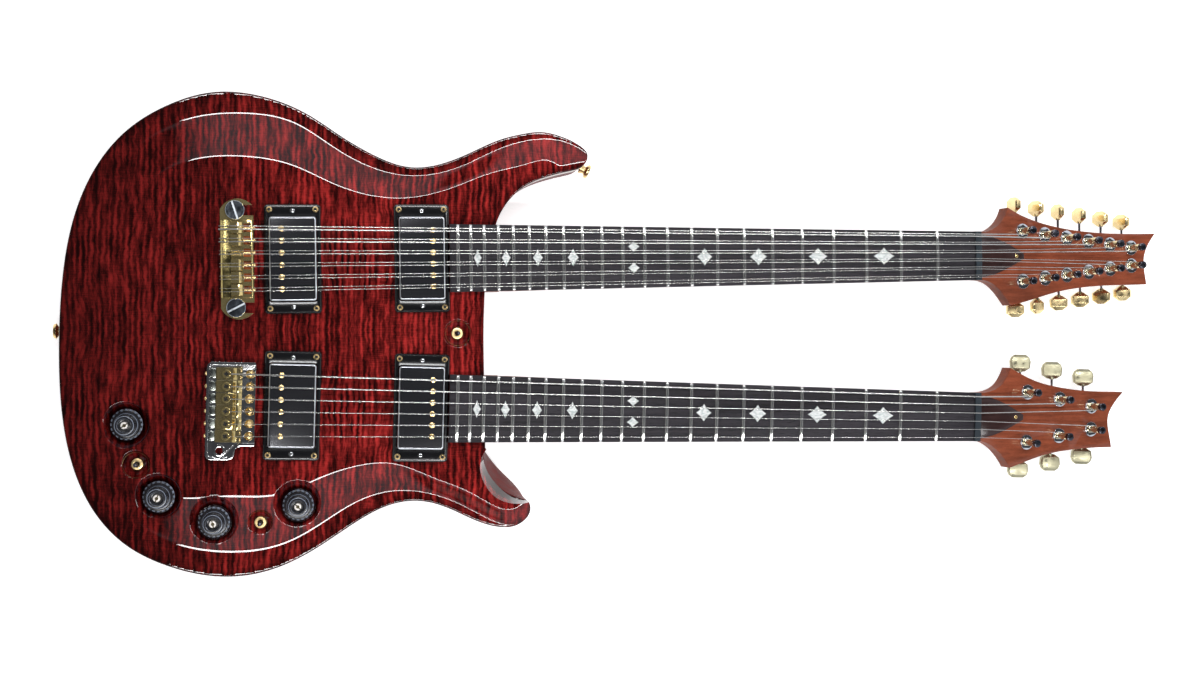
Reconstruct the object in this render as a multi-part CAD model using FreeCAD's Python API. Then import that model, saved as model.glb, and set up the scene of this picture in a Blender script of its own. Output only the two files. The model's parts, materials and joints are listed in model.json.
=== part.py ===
import FreeCAD, Part
import math
import os

# A double-neck electric guitar, lying on its back on a flat surface.
# X runs along the necks from the bridges to the headstocks, Y points to the twelve-string neck
# and Z points out of the front. The origin is on the back face, under the bridge line,
# midway between the two necks. All lengths are in millimetres and all angles in degrees.

# Strings and necks
scale_length = 635.0
fret_count = 22
neck_spacing = 118.6
neck_splay = 1.08
nut_width = 43.0
nut_length = 5.5
nut_rise = 1.6
board_gap = 0.35
board_overhang = 6.593
board_end_width = 56.6
board_thickness = 6.0
board_radius = 254.0
neck_rise = 2.8
neck_depth_at_nut = 14.2
neck_depth_at_heel = 18.0
neck_fullness_share = 0.9
heel_fullness_share = 0.5
throat_fullness_share = 0.35
neck_section_steps = 8
heel_length = 48.0
heel_overhang = 3.0
tenon_wall = 4.0
tenon_depth = 32.0
fret_width = 2.6
fret_height = 1.2
rod_radius = 3.0
rod_depth = 8.0
string_spread_at_nut = 36.0
string_spread_at_bridge = 50.5
string_height_at_nut = 7.75
string_height_at_bridge = 10.2
course_gap_at_nut = 1.9
course_gap_at_bridge = 2.6
string_radii = (0.60, 0.48, 0.36, 0.28, 0.22, 0.18)
octave_radii = (0.36, 0.28, 0.22, 0.20, 0.22, 0.18)
string_clearance = 0.15

# Headstocks
head_angle = 9.0
head_thickness = 13.5
head_horn_width = 88.0
head_length_twelve = 190.0
head_length_six = 154.5
throat_length = 18.0
first_post_twelve = 45.0
post_pitch_twelve = 23.45
first_post_six = 50.5
post_pitch_six = 34.3
first_post_offset = 22.5
last_post_offset_twelve = 8.2
last_post_offset_six = 10.5
rod_cover_length = 46.0
rod_cover_width = 38.0
rod_cover_thickness = 2.0

# Tuners
post_radius = 2.9
post_height = 14.5
post_cap_radius = 3.35
post_cap_height = 4.0
post_foot_radius = 1.6
post_foot_length = 5.5
running_clearance = 0.06
bushing_radius = 5.0
collar_radius = 6.2
collar_height = 1.8
string_post_height = 9.0
housing_length = 16.0
housing_width = 15.0
housing_depth = 8.5
housing_chamfer = 1.7
key_offset = 4.3
key_radius = 1.5
key_reach = 20.5
key_neck_radius = 2.4
key_neck_length = 3.0
button_length_twelve = 11.5
button_width_twelve = 16.0
button_length_six = 13.0
button_width_six = 19.0
button_thickness = 6.0

# How far each key rests from flat, from the nut outwards, the bass side first
key_turns_twelve = (62.0, 118.0, 66.0, 57.0, 124.0, 50.0, 58.0, 122.0, 8.0, 0.0, 60.0, 132.0)
key_turns_six = (14.0, 158.0, 4.0, 18.0, 162.0, 8.0)

# Body
body_length = 430.0
body_width = 397.0
back_thickness = 32.0
rim_thickness = 12.0
crown_rise = 6.2
back_edge_radius = 5.0
horn_edge_share = 0.45
scoop_floor = 8.0
scoop_overrun = 30.0
scoop_lift = 8.0
carve_depth_at_rim = 0.5

# Pickups
pickup_place_bridge = 43.5
cover_length = 38.0
cover_width = 69.0
cover_rise = 8.2
cover_corner = 2.5
cover_edge = 0.8
ring_length = 45.5
ring_width = 89.5
ring_height = 4.6
ring_chamfer = 1.15
ring_corner = 3.0
ring_gap = 0.5
rout_margin = 1.5
rout_depth = 22.2
pole_radius = 2.3
pole_height = 0.6
pole_setback = 9.0
screw_head_radius = 2.6
screw_head_height = 1.2
screw_inset = 4.2

# Wraparound bridge of the twelve-string neck
bar_back = 14.0
bar_front = 12.5
bar_head_gap = 0.45
bar_deck_rise = 5.2
bar_tail_rise = 7.0
bar_edge = 1.6
saddle_back = 5.5
saddle_front = 3.4
saddle_gap = 1.2
saddle_floor_rise = 4.0
saddle_ridge = 0.85
ear_radius = 15.6
ear_setback = 6.3
ear_thickness = 4.2
stud_setback = 2.0
stud_spread = 79.4
stud_radius = 3.9
stud_slot_radius = 4.2
stud_head_radius = 7.75
stud_head_height = 3.2
stud_flange_radius = 7.0
stud_flange_height = 2.2
stud_depth = 18.0
stud_slot_width = 1.6

# Tremolo of the six-string neck
plate_back = 24.5
plate_front = 14.0
plate_bass_gap = 2.5
plate_treble_gap = 0.7
plate_arm_front = 1.5
plate_gap = 2.0
plate_thickness = 2.8
plate_rim_height = 4.0
plate_rim_width = 2.2
plate_corner = 4.5
plate_corner_steps = 5
arm_hole_radius = 3.0
arm_boss_radius = 4.6
arm_hole_back = 13.6
arm_hole_wall = 7.4
arm_hole_offset = 4.2
block_back = 18.0
block_front = 6.0
block_width = 56.0
block_foot = 1.5
pivot_place = 9.6
pivot_screw_radius = 2.2
pivot_hole_radius = 3.2
pivot_head_radius = 3.6
pivot_head_height = 2.0
pivot_head_gap = 0.9
pivot_screw_depth = 16.0
bent_saddle_back = 17.0
bent_saddle_front = 3.6
bent_saddle_gap = 0.4
bent_saddle_rise = 5.0
lock_screw_radius = 3.3
lock_screw_back = 9.0
lock_screw_rise = 1.2
block_swing_top = 6.0
block_swing_back = 13.0
block_swing_front = 4.0
block_side_room = 3.0
spring_cavity_depth = 21.0
spring_radius = 3.6
spring_bore_radius = 2.8
spring_inset = 5.5
spring_gap = 0.3
claw_place = 80.0
claw_thickness = 2.5
claw_width = 46.0
spring_pitch = 15.3
claw_screw_spacing = 23.0
claw_height = 10.0
claw_screw_radius = 1.8
claw_screw_length = 13.5

# Controls
dish_depth = 3.0
dish_floor_radius = 14.4
dish_fillet = 2.5
toggle_dish_radius = 11.8
knob_flutes = 20
knob_gap = 1.2
knob_height = 17.0
knob_skirt_radius = 12.7
knob_shoulder_radius = 10.4
knob_shoulder_height = 5.0
knob_neck_radius = 9.0
knob_top_radius = 7.7
knob_well_radius = 5.4
knob_well_depth = 4.0
knob_hollow_room = 1.6
knob_hollow_height = 3.6
pot_shaft_radius = 3.0
pot_slot_width = 1.0
pot_bushing_radius = 4.0
pot_hole_clearance = 0.3
pot_radius = 12.0
pot_height = 10.0
top_wall = 4.0
shaft_inset = 3.0
shaft_setback = 1.0
switch_nut_radius = 4.6
switch_nut_height = 2.2
switch_body_length = 13.0
switch_body_width = 9.0
switch_body_height = 11.0
switch_bushing_radius = 3.0
lever_ball_radius = 2.1
lever_radius = 1.1
lever_tip_radius = 1.9
lever_length = 11.0
lever_clearance = 0.3
switch_cavity_radius = 17.0

# Covers on the back, the jack and the strap buttons
cover_plate_thickness = 2.2
cover_plate_margin = 6.0
cover_plate_gap = 0.3
jack_angle = 242.7
jack_height_share = 0.625
jack_plate_length = 34.0
jack_plate_width = 20.0
jack_plate_thickness = 1.6
jack_bore_radius = 3.2
jack_barrel_radius = 4.8
jack_barrel_length = 24.0
jack_tunnel_radius = 9.5
jack_tunnel_length = 46.0
strap_height_share = 0.53
strap_angle_tail = 180.0
strap_angle_horn = -24.0
strap_base_radius = 4.6
strap_waist_radius = 3.3
strap_flange_radius = 6.4
strap_length = 8.5
strap_lip_share = 0.75
strap_tip_share = 0.9

# Outlines seen from the front, as shares of the body's length and width
rim_shares = (
    (0.491, 0.236), (0.502, 0.262), (0.530, 0.300), (0.560, 0.322), (0.593, 0.336),
    (0.633, 0.348), (0.665, 0.363), (0.673, 0.385), (0.653, 0.408), (0.619, 0.424),
    (0.581, 0.432), (0.544, 0.427), (0.500, 0.414), (0.440, 0.384), (0.381, 0.358),
    (0.323, 0.350), (0.260, 0.370), (0.195, 0.408), (0.121, 0.458), (0.037, 0.490),
    (-0.047, 0.495), (-0.130, 0.467), (-0.212, 0.407), (-0.270, 0.322), (-0.305, 0.222),
    (-0.323, 0.101), (-0.328, -0.038), (-0.321, -0.176), (-0.300, -0.282), (-0.260, -0.373),
    (-0.200, -0.441), (-0.126, -0.482), (-0.028, -0.505), (0.056, -0.495), (0.140, -0.455),
    (0.221, -0.398), (0.284, -0.363), (0.342, -0.354), (0.400, -0.370), (0.456, -0.398),
    (0.502, -0.412), (0.537, -0.408), (0.560, -0.383), (0.558, -0.358),
)
scoop_shares = (
    (0.558, -0.358), (0.537, -0.327), (0.509, -0.297), (0.486, -0.267), (0.471, -0.241),
)
waist_shares = ((0.471, -0.241), (0.468, -0.090), (0.468, 0.075), (0.474, 0.156), (0.491, 0.236))
shoulder_shares = (
    (0.477, -0.241), (0.463, -0.264), (0.460, -0.292), (0.470, -0.322), (0.488, -0.346),
    (0.514, -0.359), (0.558, -0.358),
)
foot_shares = (
    (0.535, 0.000), (0.535, 0.139), (0.540, 0.232), (0.581, 0.297), (0.647, 0.338),
    (0.672, 0.370), (0.642, 0.395), (0.581, 0.406), (0.502, 0.385), (0.409, 0.335),
    (0.323, 0.317), (0.242, 0.338), (0.174, 0.378), (0.098, 0.428), (0.009, 0.443),
    (-0.093, 0.428), (-0.186, 0.370), (-0.249, 0.267), (-0.274, 0.113), (-0.281, -0.050),
    (-0.270, -0.202), (-0.228, -0.327), (-0.144, -0.416), (-0.028, -0.453), (0.084, -0.438),
    (0.172, -0.385), (0.235, -0.343), (0.302, -0.324), (0.377, -0.332), (0.456, -0.370),
    (0.540, -0.398), (0.609, -0.340), (0.558, -0.202),
)
crown_shares = (
    (0.516, 0.000), (0.512, 0.139), (0.512, 0.232), (0.540, 0.282), (0.572, 0.322),
    (0.605, 0.355), (0.591, 0.368), (0.549, 0.360), (0.479, 0.338), (0.400, 0.305),
    (0.323, 0.282), (0.247, 0.282), (0.170, 0.305), (0.095, 0.338), (0.009, 0.353),
    (-0.081, 0.345), (-0.163, 0.297), (-0.216, 0.202), (-0.235, 0.076), (-0.237, -0.050),
    (-0.228, -0.176), (-0.191, -0.277), (-0.116, -0.328), (-0.023, -0.321), (0.070, -0.322),
    (0.144, -0.294), (0.214, -0.272), (0.291, -0.269), (0.367, -0.303), (0.447, -0.340),
    (0.521, -0.373), (0.567, -0.315), (0.535, -0.202),
)
carve_shares = ((0.0, 0.0), (0.3, 0.22), (0.6, 0.62), (0.85, 0.93), (1.0, 1.0))
control_shares = (
    (-0.242, -0.151), (-0.163, -0.151), (-0.144, -0.262), (-0.070, -0.297), (0.093, -0.297),
    (0.158, -0.307), (0.158, -0.403), (0.070, -0.438), (-0.070, -0.448), (-0.181, -0.388),
    (-0.247, -0.277),
)
knob_place_shares = ((-0.205, -0.190), (-0.146, -0.338), (-0.044, -0.392), (0.113, -0.359))
toggle_place_shares = ((-0.186, -0.271), (0.042, -0.394), (0.416, 0.0))
knob_dish_slopes = (0.47, 0.55, 0.86, 0.75)
jack_place_shares = (-0.1767, -0.4540)
strap_tail_shares = (-0.3275, 0.0)
strap_horn_shares = (0.667, 0.3645)

# Headstock outlines, each as the four curves between its corners,
# in shares of the headstock's length and of the width across its horns
head_shares_twelve = (
    ((0.0, 0.242), (0.074, 0.267), (0.126, 0.350), (0.163, 0.494)),
    ((0.163, 0.494), (0.253, 0.403), (0.347, 0.341), (0.463, 0.291), (0.579, 0.261),
     (0.737, 0.242), (0.895, 0.241), (1.0, 0.247)),
    ((1.0, 0.247), (0.968, 0.159), (0.942, 0.057), (0.932, -0.057), (0.937, -0.170),
     (0.947, -0.290)),
    ((0.947, -0.290), (0.810, -0.293), (0.653, -0.307), (0.532, -0.330), (0.416, -0.373),
     (0.300, -0.437), (0.174, -0.500)),
    ((0.174, -0.500), (0.142, -0.410), (0.090, -0.300), (0.0, -0.242)),
)
head_shares_six = (
    ((0.0, 0.242), (0.090, 0.262), (0.152, 0.320), (0.188, 0.400), (0.214, 0.500)),
    ((0.214, 0.500), (0.315, 0.416), (0.391, 0.367), (0.505, 0.322), (0.620, 0.294),
     (0.736, 0.277), (0.852, 0.270), (1.0, 0.271)),
    ((1.0, 0.271), (0.963, 0.205), (0.926, 0.125), (0.896, 0.010), (0.898, -0.100),
     (0.924, -0.307)),
    ((0.924, -0.307), (0.822, -0.311), (0.706, -0.323), (0.592, -0.344), (0.478, -0.378),
     (0.366, -0.433), (0.222, -0.518)),
    ((0.222, -0.518), (0.190, -0.435), (0.150, -0.360), (0.095, -0.290), (0.0, -0.242)),
)
# Tuner buttons, as sections from the shaft outwards: the run, the width and the thickness,
# in shares of the button's own
button_shares_twelve = ((0.0, 0.42, 0.5), (0.26, 1.0, 1.0), (0.74, 1.0, 1.0), (1.0, 0.42, 0.5))
button_shares_six = ((0.0, 0.45, 0.5), (0.20, 0.92, 1.0), (0.60, 1.0, 1.0), (0.85, 0.86, 0.8),
                     (1.0, 0.55, 0.4))
rod_cover_shares = ((0.0, 0.5), (0.35, 0.42), (0.70, 0.25), (1.0, 0.06))
shaft_sections_share = ((0.0, 0.0), (0.45, 0.35), (1.0, 1.0))
heel_sections_share = ((0.0, 0.0), (0.35, 0.12), (0.72, 0.55), (1.0, 1.0))

# Heights that follow from the sizes above, from the back face upwards
overrun = back_thickness
rim_height = back_thickness + rim_thickness
crown_height = rim_height + crown_rise
neck_seat_height = crown_height + neck_rise
board_top = neck_seat_height + board_thickness
cover_top = crown_height + cover_rise
rout_floor = crown_height - rout_depth
bar_floor = crown_height + stud_flange_height
bar_deck = bar_floor + bar_deck_rise
bar_tail = bar_floor + bar_tail_rise
saddle_floor = bar_floor + saddle_floor_rise
plate_floor = crown_height + plate_gap
bent_saddle_deck = plate_floor + plate_thickness + bent_saddle_rise
lock_screw_top = bent_saddle_deck + lock_screw_rise
spring_height = spring_cavity_depth - spring_inset
block_floor = spring_height - block_foot
dish_floor = rim_height - dish_depth
knob_floor = dish_floor + knob_gap
control_ceiling = dish_floor - top_wall
shaft_foot = control_ceiling - pot_height + shaft_inset
lever_pivot = dish_floor + switch_nut_height
jack_height = back_thickness * jack_height_share
strap_height = back_thickness * strap_height_share

# Other places and sizes that follow
head_start = scale_length + nut_length
board_end = scale_length / 2 ** (fret_count / 12) - board_overhang
pickup_place_neck = board_end - board_gap - ring_length / 2
tenon_start = pickup_place_neck + cover_length / 2 + rout_margin + tenon_wall
heel_end = body_length * rim_shares[0][0] + heel_overhang
heel_start = heel_end + heel_length
string_pitch_at_bridge = string_spread_at_bridge / (len(string_radii) - 1)
bar_width = stud_spread - 2 * (stud_head_radius + bar_head_gap)
ear_centre = stud_spread / 2 - ear_setback
bent_saddle_width = string_pitch_at_bridge - bent_saddle_gap
saddle_reach = (string_spread_at_bridge + bent_saddle_width) / 2
plate_bass_edge = saddle_reach + plate_bass_gap + plate_rim_width
plate_treble_edge = saddle_reach + plate_treble_gap + plate_rim_width
arm_hole_side = plate_treble_edge + arm_hole_offset
plate_arm_edge = arm_hole_side + arm_hole_wall
slot_back_top = block_back + block_swing_top
slot_back = block_back + block_swing_back
slot_front = block_front - block_swing_front
slot_width = block_width + 2 * block_side_room
spring_cavity_front = claw_place + claw_thickness + claw_screw_length
knob_hollow_radius = pot_bushing_radius + knob_hollow_room
saddle_string_height = neck_seat_height + string_height_at_bridge
nut_string_height = neck_seat_height + string_height_at_nut
six_places = range(6)

TWELVE = {
    "side": 1, "head_length": head_length_twelve, "head_shares": head_shares_twelve,
    "posts": 6, "first_post": first_post_twelve, "pitch": post_pitch_twelve,
    "last_offset": last_post_offset_twelve, "strings": 2,
    "button": (button_length_twelve, button_width_twelve), "button_shares": button_shares_twelve,
    "turns": key_turns_twelve,
}
SIX = {
    "side": -1, "head_length": head_length_six, "head_shares": head_shares_six,
    "posts": 3, "first_post": first_post_six, "pitch": post_pitch_six,
    "last_offset": last_post_offset_six, "strings": 1,
    "button": (button_length_six, button_width_six), "button_shares": button_shares_six,
    "turns": key_turns_six,
}
NECKS = (TWELVE, SIX)


def vec(x=0, y=0, z=0):
    return FreeCAD.Vector(x, y, z)


X_AXIS = vec(1, 0, 0)
Y_AXIS = vec(0, 1, 0)
Z_AXIS = vec(0, 0, 1)


def box(low, high):
    """A box between two opposite corners."""
    size = high - low
    return Part.makeBox(size.x, size.y, size.z, low)


def cylinder(radius, x, y, low, high):
    """An upright cylinder between two heights."""
    return Part.makeCylinder(radius, high - low, vec(x, y, low), Z_AXIS)


def polygon(points):
    """A closed wire through the points."""
    return Part.makePolygon(list(points) + [points[0]])


def spline(points):
    curve = Part.BSplineCurve()
    curve.interpolate(list(points))
    return curve.toShape()


def ring_spline(points):
    """A smooth closed wire through the points."""
    curve = Part.BSplineCurve()
    curve.interpolate(list(points), True)
    return Part.Wire(curve.toShape())


def prism(wire, height):
    return Part.Face(wire).extrude(vec(0, 0, height))


def turned(profile):
    """A solid of revolution about Z from (radius, height) corners."""
    wire = polygon([vec(radius, 0, height) for radius, height in profile])
    return Part.Face(wire).revolve(vec(), Z_AXIS, 360)


def fused(shapes):
    first = shapes[0]
    return first.fuse(shapes[1:]).removeSplitter() if len(shapes) > 1 else first


def cut_all(shape, cutters):
    """The shape less each cutter in turn."""
    for cutter in cutters:
        shape = shape.cut(cutter)
    return shape


def solids_of(shapes):
    """One compound of separate solids."""
    found = []
    for shape in shapes:
        found.extend(shape.Solids)
    return Part.makeCompound(found)


def moved(shape, x=0, y=0, z=0):
    copy = shape.copy()
    copy.translate(vec(x, y, z))
    return copy


def rotated(shape, axis, angle):
    copy = shape.copy()
    copy.rotate(vec(), axis, angle)
    return copy


def on_neck(shape, neck):
    """From the frame of one neck, X along its strings, to the guitar's frame."""
    copy = rotated(shape, Z_AXIS, neck["side"] * neck_splay)
    copy.translate(vec(0, neck["side"] * neck_spacing / 2, 0))
    return copy


def on_head(shape, neck):
    """From the frame of a headstock, Z out of its face, to the guitar's frame."""
    copy = rotated(shape, Y_AXIS, head_angle)
    copy.translate(vec(head_start, 0, neck_seat_height))
    return on_neck(copy, neck)


def shared(pair):
    """A place on the body from its shares of the length and width."""
    return pair[0] * body_length, pair[1] * body_width


def body_points(shares, height):
    return [vec(*shared(pair), height) for pair in shares]


def half_width(x):
    """Half the fingerboard's width at a distance from the bridge line."""
    share = (scale_length - x) / (scale_length - board_end)
    return (nut_width + (board_end_width - nut_width) * share) / 2


def fret_place(number):
    return scale_length / 2 ** (number / 12)


def camber(y):
    """How far the fingerboard's arc has dropped at a distance from its middle."""
    return board_radius - math.sqrt(board_radius ** 2 - y ** 2)


# Body

def rim_wire(height):
    """The body's outline, from the twelve-string neck round the tail to the six-string neck."""
    rim = spline(body_points(rim_shares, height))
    scoop = spline(body_points(scoop_shares, height))
    waist = spline(body_points(waist_shares, height))
    return Part.Wire([rim, scoop, waist])


def scoop_cutter():
    """The slanted scoop that bares the lower horn beside the six-string neck."""
    inner = body_points(shoulder_shares, rim_height + scoop_lift)
    outer = body_points(scoop_shares, scoop_floor)
    reach_out = vec(scoop_overrun, scoop_overrun / 2, 0)
    high = Part.Wire([spline(inner), Part.makeLine(inner[-1], inner[-1] + reach_out),
                      Part.makeLine(inner[-1] + reach_out, inner[0] + reach_out),
                      Part.makeLine(inner[0] + reach_out, inner[0])])
    outer.reverse()
    low = Part.Wire([spline(outer), Part.makeLine(outer[-1], outer[-1] + reach_out),
                     Part.makeLine(outer[-1] + reach_out, outer[0] + reach_out),
                     Part.makeLine(outer[0] + reach_out, outer[0])])
    return Part.makeLoft([high, low], True, True)


def carved_crown():
    """The raised middle of the top, which falls in a soft step to the rim."""
    foot_height = rim_height - carve_depth_at_rim
    wires = []
    for spread, lift in carve_shares:
        height = foot_height + (crown_height - foot_height) * lift
        feet = body_points(foot_shares, height)
        crowns = body_points(crown_shares, height)
        wires.append(ring_spline([foot + (crown - foot) * spread
                                  for foot, crown in zip(feet, crowns)]))
    crown = Part.makeLoft(wires, True, False)
    return crown.common(prism(rim_wire(back_thickness), overrun))


def pickup_rout(place, neck):
    length = cover_length / 2 + rout_margin
    width = cover_width / 2 + rout_margin
    block = box(vec(place - length, -width, rout_floor), vec(place + length, width, board_top))
    return on_neck(block, neck)


def pickup_routs():
    return [pickup_rout(place, neck) for neck in NECKS
            for place in (pickup_place_bridge, pickup_place_neck)]


def tremolo_slot(back):
    """The slot that the tremolo's block swings in."""
    block = box(vec(-back, -slot_width / 2, -overrun), vec(-slot_front, slot_width / 2, board_top))
    return on_neck(block, SIX)


def spring_cavity():
    block = box(vec(-slot_back, -slot_width / 2, -overrun),
                vec(spring_cavity_front, slot_width / 2, spring_cavity_depth))
    return on_neck(block, SIX)


def control_wire(height, margin=0):
    wire = polygon(body_points(control_shares, height))
    return wire.makeOffset2D(margin) if margin else wire


def control_cavity():
    return prism(control_wire(-overrun), control_ceiling + overrun)


def switch_cavity():
    x, y = shared(toggle_place_shares[2])
    return cylinder(switch_cavity_radius, x, y, -overrun, control_ceiling)


def spring_cover(gap):
    """The plate over the tremolo springs, or the room for it."""
    reach = cover_plate_margin + gap
    block = box(vec(-slot_back - reach, -slot_width / 2 - reach, 0),
                vec(spring_cavity_front + reach, slot_width / 2 + reach, cover_plate_thickness))
    return on_neck(block, SIX)


def control_cover(gap):
    return prism(control_wire(0, cover_plate_margin + gap), cover_plate_thickness)


def switch_cover(gap):
    x, y = shared(toggle_place_shares[2])
    return cylinder(switch_cavity_radius + cover_plate_margin + gap, x, y, 0, cover_plate_thickness)


def back_covers(gap):
    return [spring_cover(gap), control_cover(gap), switch_cover(gap)]


def at_side(shape, shares, angle, height):
    """From a frame with Z pointing out of the body's side to the guitar's frame."""
    x, y = shared(shares)
    copy = rotated(rotated(shape, Y_AXIS, 90), Z_AXIS, angle)
    copy.translate(vec(x, y, height))
    return copy


def side_seats():
    """Flats and bores in the body's side for the jack and the strap buttons."""
    flat = box(vec(-jack_plate_width / 2, -jack_plate_length / 2, -jack_plate_thickness),
               vec(jack_plate_width / 2, jack_plate_length / 2, overrun))
    tunnel = Part.makeCylinder(jack_tunnel_radius, jack_tunnel_length + overrun,
                               vec(0, 0, -jack_tunnel_length), Z_AXIS)
    seats = [at_side(cut, jack_place_shares, jack_angle, jack_height) for cut in (flat, tunnel)]
    button = Part.makeCylinder(strap_base_radius, overrun, vec(), Z_AXIS)
    seats.append(at_side(button, strap_tail_shares, strap_angle_tail, strap_height))
    seats.append(at_side(button, strap_horn_shares, strap_angle_horn, strap_height))
    return seats


def stud_places():
    return [(-stud_setback, side * stud_spread / 2) for side in (1, -1)]


def string_share_places(spread):
    """The six places across the strings, from the bass side to the treble side."""
    return [spread / 2 - spread * number / (len(six_places) - 1) for number in six_places]


def neck_pockets():
    """Room for the two neck tenons, open at the body's edge."""
    side = half_width(heel_end)
    pocket = box(vec(tenon_start, -side, neck_seat_height - tenon_depth),
                 vec(heel_end + overrun, side, board_top))
    return [on_neck(pocket, neck) for neck in NECKS]


def bridge_bores():
    """Bores for the bridge studs and the tremolo's pivot screws."""
    low = crown_height - stud_depth
    bores = [on_neck(cylinder(stud_radius, x, y, low, board_top), TWELVE) for x, y in stud_places()]
    low = crown_height - pivot_screw_depth
    bores += [on_neck(cylinder(pivot_screw_radius, pivot_place, y, low, board_top), SIX)
              for y in string_share_places(string_spread_at_bridge)]
    return bores


def make_body_back():
    back = prism(rim_wire(0), back_thickness)
    edges = [edge for edge in back.Edges
             if edge.BoundBox.ZMax < back_edge_radius and edge.BoundBox.ZLength < back_edge_radius]
    horn_tip = (rim_shares[-1][1] - rim_shares[-2][1]) * body_width
    back = back.makeFillet(min(back_edge_radius, horn_tip * horn_edge_share), edges)
    cuts = neck_pockets() + pickup_routs() + side_seats() + back_covers(cover_plate_gap)
    cuts += [tremolo_slot(slot_back), spring_cavity(), control_cavity(), switch_cavity(), scoop_cutter()]
    return cut_all(back, cuts + bridge_bores())


def toggle_dish(x, y):
    return Part.makeSphere(toggle_dish_radius, vec(x, y, dish_floor + toggle_dish_radius))


def knob_dish(x, y, slope):
    """A flat-floored cup with flared walls, rounded where they meet its floor."""
    rise = board_top - dish_floor
    cup = Part.makeCone(dish_floor_radius, dish_floor_radius + slope * rise, rise,
                        vec(x, y, dish_floor), Z_AXIS)
    foot = [edge for edge in cup.Edges if edge.BoundBox.ZMax < dish_floor + dish_fillet
            and edge.BoundBox.ZLength < dish_fillet]
    return cup.makeFillet(dish_fillet, foot)


def make_body_top():
    rim = prism(rim_wire(back_thickness), rim_height - back_thickness)
    top = rim.fuse(carved_crown())
    cuts = neck_pockets() + pickup_routs()
    cuts += [tremolo_slot(slot_back_top), control_cavity(), switch_cavity()]
    cuts.append(scoop_cutter())
    cuts += side_seats()[:2]
    for pair, slope in zip(knob_place_shares, knob_dish_slopes):
        x, y = shared(pair)
        cuts.append(knob_dish(x, y, slope))
        cuts.append(cylinder(pot_bushing_radius + pot_hole_clearance, x, y, back_thickness, board_top))
    for pair in toggle_place_shares:
        x, y = shared(pair)
        cuts.append(toggle_dish(x, y))
        cuts.append(cylinder(switch_nut_radius + cover_plate_gap, x, y, dish_floor, board_top))
        cuts.append(cylinder(switch_bushing_radius + pot_hole_clearance, x, y, back_thickness,
                             board_top))
    return cut_all(top, cuts + bridge_bores())


# Necks, fingerboards, frets and nuts

def neck_section(x, depth, fullness, width=None):
    """A D-shaped section of the neck, flat side up, square to X."""
    side = half_width(x) if width is None else width
    points = []
    for step in range(neck_section_steps + 1):
        angle = math.pi * step / neck_section_steps
        across = math.copysign(abs(math.cos(angle)) ** fullness, math.cos(angle))
        points.append(vec(x, side * across, neck_seat_height - depth * math.sin(angle) ** fullness))
    curve = spline(points)
    return Part.Wire([curve, Part.makeLine(points[-1], points[0])])


def head_wire(neck):
    length = neck["head_length"]
    edges = []
    for shares in neck["head_shares"]:
        edges.append(spline([vec(x * length, y * head_horn_width, 0) for x, y in shares]))
    start = neck["head_shares"][0][0]
    finish = neck["head_shares"][-1][-1]
    edges.append(Part.makeLine(vec(finish[0] * length, finish[1] * head_horn_width, 0),
                               vec(start[0] * length, start[1] * head_horn_width, 0)))
    return Part.Wire(edges)


def post_places(neck):
    """The tuner posts on a headstock face: distance from the nut, offset and side."""
    places = []
    for side in (1, -1):
        for number in range(neck["posts"]):
            share = number / (neck["posts"] - 1)
            offset = first_post_offset + (neck["last_offset"] - first_post_offset) * share
            places.append((neck["first_post"] + neck["pitch"] * number, side * offset, side))
    return places


def rod_cutter():
    """The channel for the truss rod, which the rod fills."""
    return Part.makeCylinder(rod_radius, scale_length - tenon_start,
                             vec(tenon_start, 0, neck_seat_height - rod_depth), X_AXIS)


def make_neck_wood(neck):
    """Neck, heel, tenon and headstock, carved from one blank."""
    heel_drop = neck_depth_at_heel - neck_depth_at_nut
    shaft_run = head_start - heel_start
    shaft = [neck_section(head_start - shaft_run * run, neck_depth_at_nut + heel_drop * drop,
                          neck_fullness_share)
             for run, drop in shaft_sections_share]
    heel_run = heel_start - heel_end
    heel_fall = tenon_depth - neck_depth_at_heel
    heel = [neck_section(heel_start - heel_run * run, neck_depth_at_heel + heel_fall * drop,
                         neck_fullness_share + (heel_fullness_share - neck_fullness_share) * drop)
            for run, drop in heel_sections_share]
    tenon_side = half_width(heel_end)
    tenon = box(vec(tenon_start, -tenon_side, neck_seat_height - tenon_depth),
                vec(heel_end, tenon_side, neck_seat_height))
    throat_end = neck_section(0, head_thickness, throat_fullness_share, nut_width / 2)
    throat_end.rotate(vec(0, 0, neck_seat_height), Y_AXIS, head_angle)
    slope = math.radians(head_angle)
    throat_end.translate(vec(head_start + throat_length * math.cos(slope), 0,
                             -throat_length * math.sin(slope)))
    throat_start = neck_section(scale_length, neck_depth_at_nut, neck_fullness_share)
    throat = Part.makeLoft([throat_start, throat_end], True, True)
    head = prism(head_wire(neck), -head_thickness)
    head = rotated(head, Y_AXIS, head_angle)
    head.translate(vec(head_start, 0, neck_seat_height))
    wood = fused([Part.makeLoft(shaft, True, False), Part.makeLoft(heel, True, False), tenon,
                  throat, head])
    wood = on_neck(wood, neck)
    holes = [on_neck(rod_cutter(), neck)]
    for x, y, side in post_places(neck):
        holes.append(on_head(cylinder(bushing_radius, x, y, -2 * head_thickness, head_thickness),
                             neck))
    return wood.cut(holes)


def board_section(x, lift=0):
    """The fingerboard's section, arched across the top."""
    side = half_width(x)
    low = neck_seat_height
    high = board_top - camber(side) + lift
    crown = Part.Arc(vec(x, side, high), vec(x, 0, board_top + lift), vec(x, -side, high))
    return Part.Wire([Part.makeLine(vec(x, side, low), vec(x, side, high)), crown.toShape(),
                      Part.makeLine(vec(x, -side, high), vec(x, -side, low)),
                      Part.makeLine(vec(x, -side, low), vec(x, side, low))])


def make_fingerboards():
    board = Part.makeLoft([board_section(board_end), board_section(scale_length)], True, True)
    return solids_of([on_neck(board, neck) for neck in NECKS])


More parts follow.
